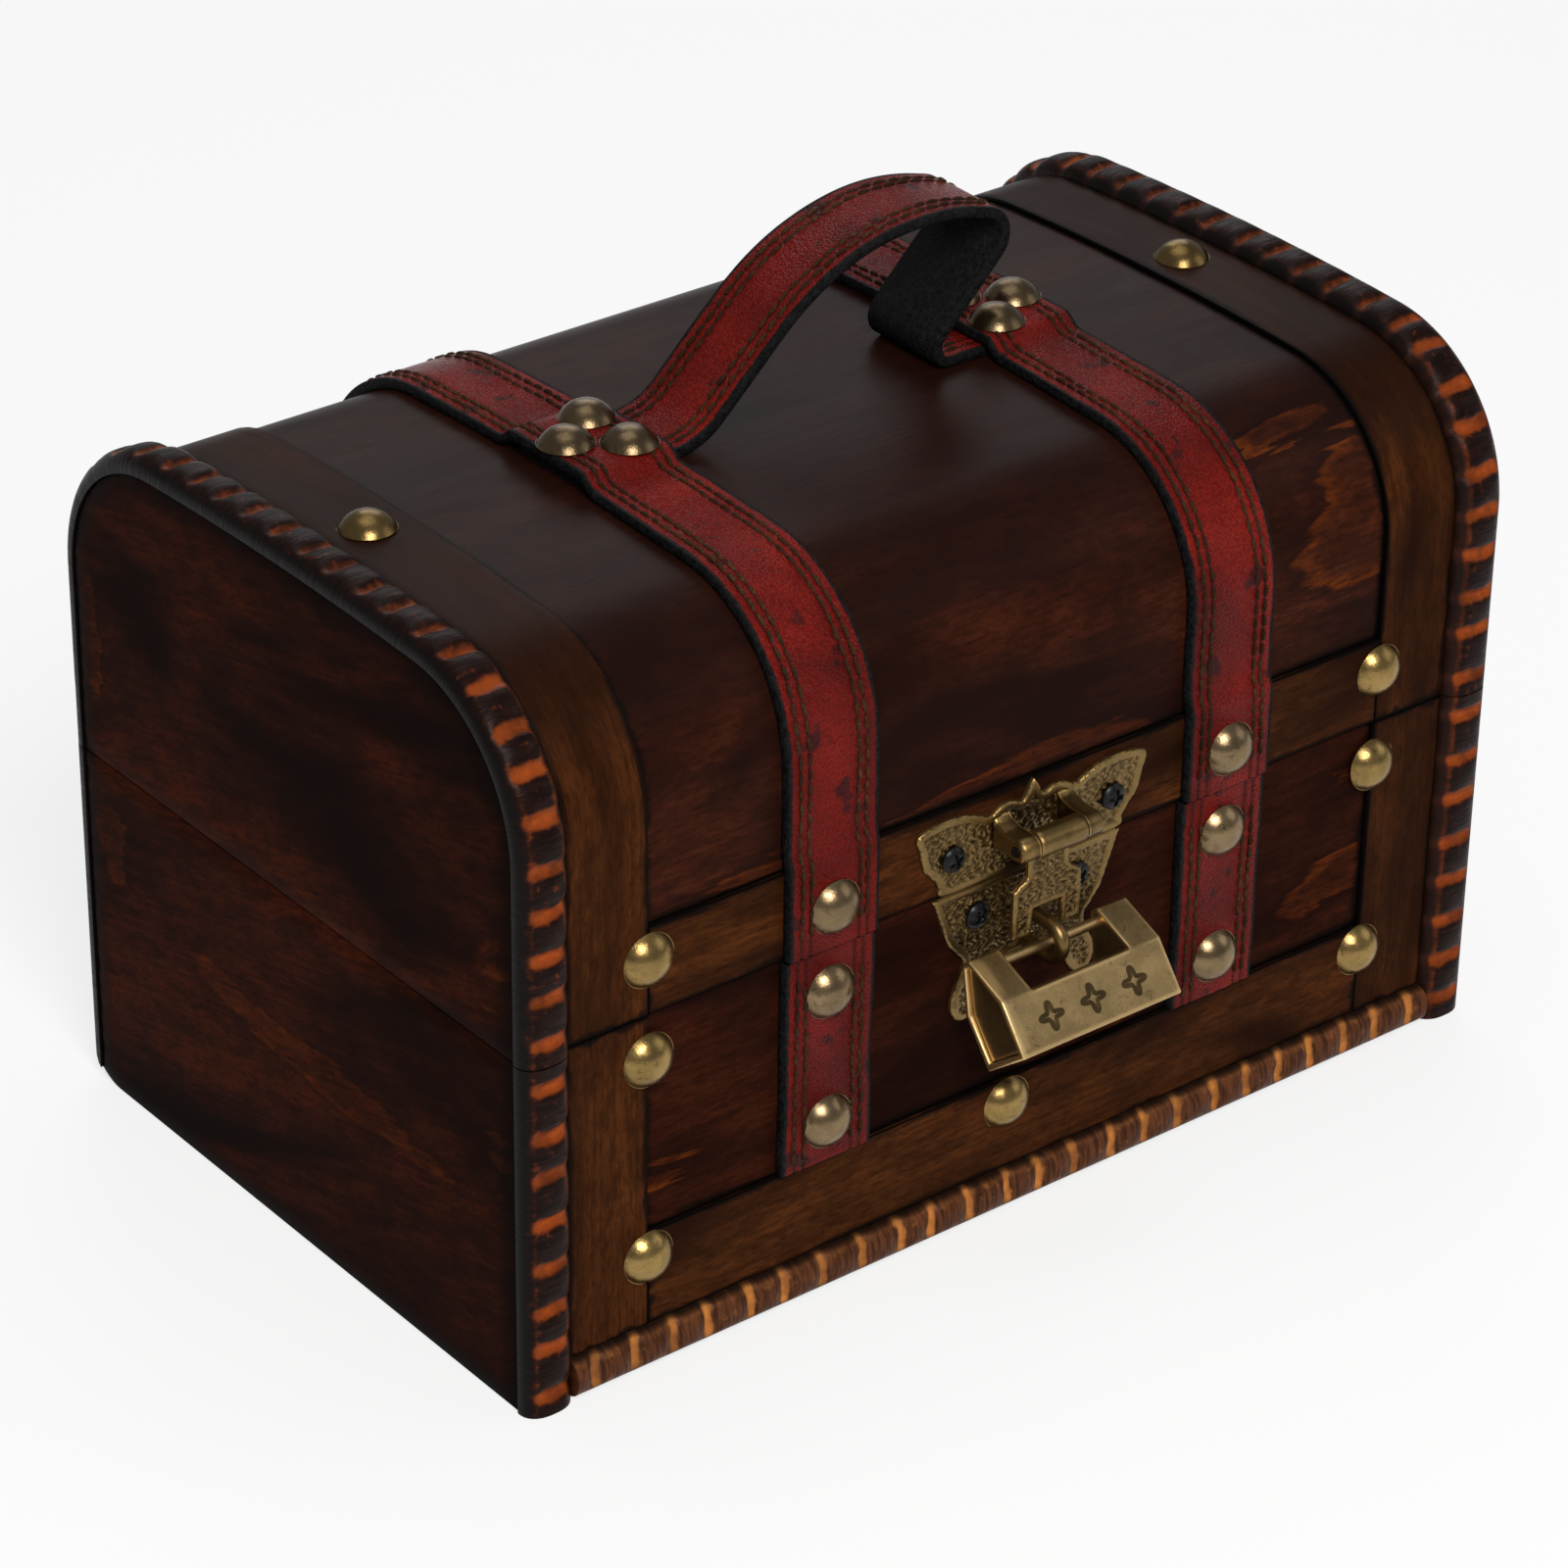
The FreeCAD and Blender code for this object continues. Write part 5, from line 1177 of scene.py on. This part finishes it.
STAPLE_ROOT, STAPLE_Y, STAPLE_Z = -66.2, -73.4, 57.6
STAPLE_R, STAPLE_WIRE = 3.3, 1.4


def scroll(across, up, seed):
    """Give the height of a pressed scroll pattern, from 0 in its hollows to 1 on its ridges."""
    warp = noise.noise(Vector((across * 0.3, up * 0.3, seed))) * 3.0
    swirl = math.sin(across * 3.2 + warp * 2.4 + 1.3 * math.sin(up * 2.6 + warp))
    grain = noise.noise(Vector((across * 2.4, up * 2.4, seed + 5)))
    return min(max(0.46 + 0.5 * swirl * math.cos(up * 2.9 - warp * 1.9) + 0.5 * grain, 0.0), 1.0)


def pressed(seed, rim=1.25):
    """Give the face of a pressed plate: a smooth raised rim round a sunk scroll pattern."""

    def face(across, up, gap):
        ease = 0.35 * (1 - min(gap / 0.35, 1.0)) ** 2
        sunk = smooth(gap, rim, rim + 0.45)
        pattern = scroll(across, up, seed)
        height = PLATE_T - ease - sunk * (0.42 - 0.34 * pattern)
        return height, 1.0 - sunk * (1.0 - (0.20 + 0.50 * pattern))

    return face


def ear_face(across, up, gap):
    """Give the side of an ear, eased at its rim and sunk at the pin's hole."""
    hole = math.dist((across, up), (PIN_Y, PIN_Z))
    ease = 0.8 * (1 - min(gap / 0.9, 1.0)) ** 2
    sink = 1.6 * (1 - smooth(hole, 0.85, 1.05))
    return EAR_T - ease - sink, 1.0 if hole > 1.1 else -0.5


def half_round(count, y, z, radius):
    """Give a half circle that bulges to the front, from its top to its foot."""
    turns = [math.pi / 2 + math.pi * number / count for number in range(count + 1)]
    return [(y + radius * math.cos(turn), z + radius * math.sin(turn)) for turn in turns]


def stacked(rings, proud):
    """Give the shape that joins rings of points one after another."""
    shape = Shape()
    for ring in rings:
        for point in ring:
            shape.add(point, proud=proud)
    shape.rings(len(rings), len(rings[0]))
    return shape


def tube(path, radius, ring):
    """Give the shape of a round tube along a path of points across the X axis."""
    rings = []
    for number, spot in enumerate(path):
        way = (path[min(number + 1, len(path) - 1)] - path[max(number - 1, 0)]).normalized()
        second = way.cross(Vector((1, 0, 0))).normalized()
        side = second.cross(way).normalized()
        rings.append([spot + side * (radius * c) + second * (radius * s) for c, s in ring])
    return stacked(rings, 1.0)


def lathe(profile, ring, place):
    """Give the shape of a round piece along X from (along, radius) pairs; place sets its points."""
    rings = [[place((along, radius * c, radius * s)) for c, s in ring] for along, radius in profile]
    return stacked(rings, 1.0)


def pinned(vert):
    """Set a point drawn about the X axis on the hasp's pin."""
    return (vert[0], vert[1] + PIN_Y, vert[2] + PIN_Z)


def make_hasp():
    """Make the butterfly plates, the ears, the flap with its barrel, and the ring staple."""

    def pressing(name, outline, level, face, body, stands_for):
        def place(x, z, height):
            return (x, level - height, z)

        plate(name, outline, 0.3, place, face, hasp_brass, body, "hasp_brass", [stands_for])

    upper, lower = outline_of(mirrored(UPPER_HALF)), outline_of(mirrored(LOWER_HALF))
    pressing("hasp_upper_wings", upper, UPPER_Y, pressed(3.0), "lid", "hasp_upper_plate")
    pressing("hasp_lower_wings", lower, LOWER_Y, pressed(8.0), "base", "hasp_lower_plate")
    ear = [(EAR_ROOT, PIN_Z + 4.0), (EAR_WAIST, PIN_Z + 3.0), (EAR_NECK, PIN_Z + EAR_R)]
    ear += half_round(12, PIN_Y, PIN_Z, EAR_R)
    ear += [(EAR_NECK, PIN_Z - 2.2), (EAR_WAIST, PIN_Z - 2.3), (EAR_ROOT, PIN_Z - 2.8)]
    for side, name in SIDES:

        def beside(y, z, height):
            return (side * (EAR_IN + height), y, z)

        plate(f"hasp_{name}_ear", corners(ear, 0.35), 0.22, beside, ear_face, hasp_brass, "lid", "hasp_brass")
    fork = corners(mirrored(FLAP_HALF), 0.45)
    pressing("hasp_fork", fork, FLAP_Y, pressed(14.0, 0.8), "hasp_flap_body", "hasp_flap")
    profile = BARREL_HALF + [(0, 2.6)] + [(-along, radius) for along, radius in reversed(BARREL_HALF)]
    barrel = lathe(profile, circle(40), pinned)
    barrel.make("hasp_barrel", hasp_brass, "hasp_flap_body", "hasp_brass", (), 50.0)
    leg = even(STAPLE_Y, STAPLE_ROOT, 1.0)
    path = [(y, STAPLE_Z + STAPLE_R) for y in reversed(leg)]
    path += half_round(24, STAPLE_Y, STAPLE_Z, STAPLE_R)[1:-1]
    path += [(y, STAPLE_Z - STAPLE_R) for y in leg]
    staple = tube([Vector((0, y, z)) for y, z in path], STAPLE_WIRE, circle(20))
    staple.make("hasp_ring", hasp_brass, "base", "hasp_brass", ["hasp_staple"], 60.0)


# Padlock, drawn upright about its bar.

LOCK_Y, LOCK_Z = -73.4, 57.0  # the bar's axis
LOCK_TILT = math.radians(38.0)
LOCK_HALF, LOCK_NOTCH, LOCK_RECESS, COVER_OUT = 18.2, 11.2, 15.8, 17.4  # along the bar
LOCK_DEPTH, LOCK_RIDGE = 6.0, 1.0  # half the depth of the walls and of the roof's top
LOCK_TOP, LOCK_EAVE, LOCK_FOOT = 2.2, -6.4, -17.0
KEYHOLE = [(-1.0, -14.5), (1.0, -14.5), (1.0, -9.5), (-1.0, -9.5)]
ROSETTES = (-9.5, 0.0, 9.5)
ROSETTE_Y, ROSETTE_Z = -5.95, -11.8
PETAL_REACH, PETAL_SWING = 2.1, 0.75
BAR = [(-LOCK_RECESS, 1.0), (13.6, 1.0), (13.9, 0.9), (14.0, 0.6)]


def hung(vert):
    """Swing a point drawn upright about the bar out to the padlock's hanging angle."""
    x, y, z = vert
    c, s = math.cos(LOCK_TILT), math.sin(LOCK_TILT)
    return (x, LOCK_Y + y * c + z * s, LOCK_Z - y * s + z * c)


def house(inset=0.0, notch=False):
    """Give the padlock's section, counted the same with or without its roof."""
    half, base, shoulder = LOCK_DEPTH - inset, LOCK_FOOT + inset, LOCK_EAVE - 0.35 * inset
    top, roof = LOCK_TOP - inset, max(0.2, LOCK_RIDGE - 0.2 * inset)
    if notch:
        top, roof = LOCK_EAVE, LOCK_RIDGE
    return [(-half, base), (half, base), (half, shoulder), (roof, top), (-roof, top), (-half, shoulder)]


def loft(rows, proud):
    """Give the shape through (along, section) pairs, hung at the padlock's angle."""
    return stacked([[hung((x, y, z)) for y, z in loop] for x, loop in rows], proud)


def bevel(piece, width, segments, angle):
    """Round a piece's edges."""
    ease = piece.modifiers.new("ease", "BEVEL")
    ease.width, ease.segments = width * MM, segments
    ease.limit_method, ease.angle_limit = "ANGLE", math.radians(angle)


def petal_face(across, up, gap):
    """Give the hollow face of a rosette."""
    return 0.2 - 0.16 * smooth(gap, 0.25, 0.9), 0.05


def make_padlock():
    """Make the padlock's body with its notch and recess, a black block in its keyhole as painted shade, and
    the sliding shackle.
    """
    whole, notched, sunk = house(), house(0, True), house(1.1)
    rows = [
        (-LOCK_RECESS, sunk), (-LOCK_HALF, sunk), (-LOCK_HALF, whole), (-LOCK_NOTCH, whole),
        (-LOCK_NOTCH, notched), (LOCK_NOTCH, notched), (LOCK_NOTCH, whole), (LOCK_HALF, whole),
    ]
    case = loft(rows, 0.9)
    case = case.make("padlock_case", lock_brass, "padlock", "lock_brass", ["padlock_body"], 30.0, TINY)
    bevel(case, 0.42, 3, 20)
    # The keyhole is a black block set into the end face: painted shade for the hole's dark inside.
    deep = [(y * 0.9, z) for y, z in KEYHOLE]
    keyhole = loft([(LOCK_HALF + 0.04, KEYHOLE), (LOCK_HALF - 1.0, deep)], 0.0)
    keyhole.make("padlock_keyhole", screw_black, "padlock", "black_screw")

    petals = []
    for c, s in circle(72):
        reach = PETAL_REACH + PETAL_SWING * math.cos(4 * math.atan2(s, c))
        petals.append((reach * c, reach * s))
    for number, middle in enumerate(ROSETTES):

        def front(across, up, height):
            return hung((middle + across, ROSETTE_Y - height, ROSETTE_Z + up))

        plate(
            f"padlock_rosette_{number}", petals, 0.3, front, petal_face, dark_brass, "padlock", "lock_brass"
        )

    slide = "padlock_shackle", "lock_brass"
    loop = house(1.3)
    cover = loft([(-COVER_OUT, loop), (-LOCK_RECESS, loop)], 0.55)
    bevel(cover.make("padlock_cover", lock_brass, *slide, ["padlock_end_plate"], 30.0), 0.25, 2, 30)
    bar = lathe(BAR, circle(24), hung)
    bar.make("padlock_rail", lock_brass, *slide, ["padlock_bar"], 50.0)


def finish_nodes():
    """Give the CAD nodes that stay their materials."""
    staying = {
        "hinge_lower_leaves": hinge_brass, "hinge_upper_leaves": hinge_brass, "hinge_pins": hinge_brass,
        "hasp_pin": screw_black, "padlock_spring_rod": hinge_brass, "padlock_springs": spring_steel,
    }
    for name, material in staying.items():
        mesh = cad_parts[name].data
        mesh.materials.clear()
        mesh.materials.append(material)


# Stage, light and camera.

FLOOR_REACH = 60.0
FLOOR_WHITE = 0.7  # the share of plain white that the camera and reflections see
WORLD_COLOUR, WORLD_POWER = (0.95, 0.97, 1.0, 1.0), 0.28
LAMPS = [
    ("key", (-0.50, -1.02, 1.10), 0.6, 18.0, (1.0, 0.98, 0.95)),
    ("fill", (1.05, -0.75, 0.75), 0.7, 1.6, (0.97, 0.98, 1.0)),
    ("top", (0.05, 0.25, 1.5), 0.9, 3.5, (1.0, 1.0, 1.0)),
    ("sheen", (0.75, 1.05, 0.95), 0.9, 4.0, (0.98, 0.99, 1.0)),
]
LAMP_AIM = Vector((0, 0, 0.06))
AZIMUTH, ELEVATION, ROLL = math.radians(-38.726), math.radians(29.913), math.radians(0.868)
CAMERA_AIM, CAMERA_FAR = Vector((-0.00611, -0.00621, 0.060)), 1.0059
FOCAL_PIXELS, PHOTO_PIXELS, SENSOR = 5635.3, 1600.0, 36.0


def make_floor():
    """Make the floor, which takes shadows and looks almost white."""
    mesh = bpy.data.meshes.new("floor")
    ends = ((-1, -1), (1, -1), (1, 1), (-1, 1))
    mesh.from_pydata([(x * FLOOR_REACH, y * FLOOR_REACH, 0) for x, y in ends], [], [(0, 1, 2, 3)])
    floor = bpy.data.objects.new("floor", mesh)
    floor.location.z = -0.0001
    bpy.context.scene.collection.objects.link(floor)
    floor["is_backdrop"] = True
    s = Shader("pale_floor")
    s.set(Base_Color=(0.92, 0.92, 0.92), Roughness=0.9, Specular_IOR_Level=0.0)
    rays = s.node("LightPath").outputs
    seen = s.math("MAXIMUM", rays["Is Camera Ray"], rays["Is Glossy Ray"])
    seen = s.math("MAXIMUM", seen, rays["Is Transmission Ray"])
    white = s.node("Emission").outputs[0]
    blend = s.node("MixShader", {0: s.times(seen, FLOOR_WHITE), 1: s.surface.outputs[0], 2: white})
    s.put(s.tree.nodes["Material Output"].inputs["Surface"], blend.outputs[0])
    mesh.materials.append(s.material)


def make_light():
    """Make the soft surround and the lamps."""
    scene = bpy.context.scene
    scene.world = bpy.data.worlds.new("studio")
    scene.world.use_nodes = True
    tree = scene.world.node_tree
    tree.nodes.clear()
    out = tree.nodes.new("ShaderNodeOutputWorld")
    light = tree.nodes.new("ShaderNodeBackground")
    light.inputs["Color"].default_value = WORLD_COLOUR
    light.inputs["Strength"].default_value = WORLD_POWER
    tree.links.new(light.outputs[0], out.inputs[0])
    for name, spot, size, power, colour in LAMPS:
        lamp = bpy.data.lights.new(name, "AREA")
        lamp.shape = "SQUARE"
        lamp.size = size
        lamp.energy = power
        lamp.color = colour
        item = bpy.data.objects.new(name, lamp)
        item.location = spot
        item.rotation_euler = (LAMP_AIM - Vector(spot)).to_track_quat("-Z", "Y").to_euler()
        scene.collection.objects.link(item)


def make_camera():
    """Make the camera at the photograph's angle."""
    scene = bpy.context.scene
    level = math.cos(ELEVATION)
    back = Vector((math.sin(AZIMUTH) * level, -math.cos(AZIMUTH) * level, math.sin(ELEVATION)))
    right = Vector((math.cos(AZIMUTH), math.sin(AZIMUTH), 0))
    up = back.cross(right)
    c, s = math.cos(ROLL), math.sin(ROLL)
    turn = Matrix((c * right + s * up, -s * right + c * up, back)).transposed()
    camera = bpy.data.cameras.new("camera")
    camera.sensor_width = SENSOR
    camera.lens = FOCAL_PIXELS * SENSOR / PHOTO_PIXELS
    camera.clip_start = 0.05
    item = bpy.data.objects.new("camera", camera)
    item.matrix_world = Matrix.Translation(CAMERA_AIM + back * CAMERA_FAR) @ turn.to_4x4()
    scene.collection.objects.link(item)
    scene.camera = item
    scene.view_settings.view_transform = "Standard"


make_boards()
make_bands()
make_trims()
make_leather()
make_fasteners()
make_hasp()
make_padlock()
finish_nodes()
make_floor()
make_light()
make_camera()

boxes = {"cad": cad_box, "visual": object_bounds()}
{key: [list(map(float, corner)) for corner in box] for key, box in boxes.items()}
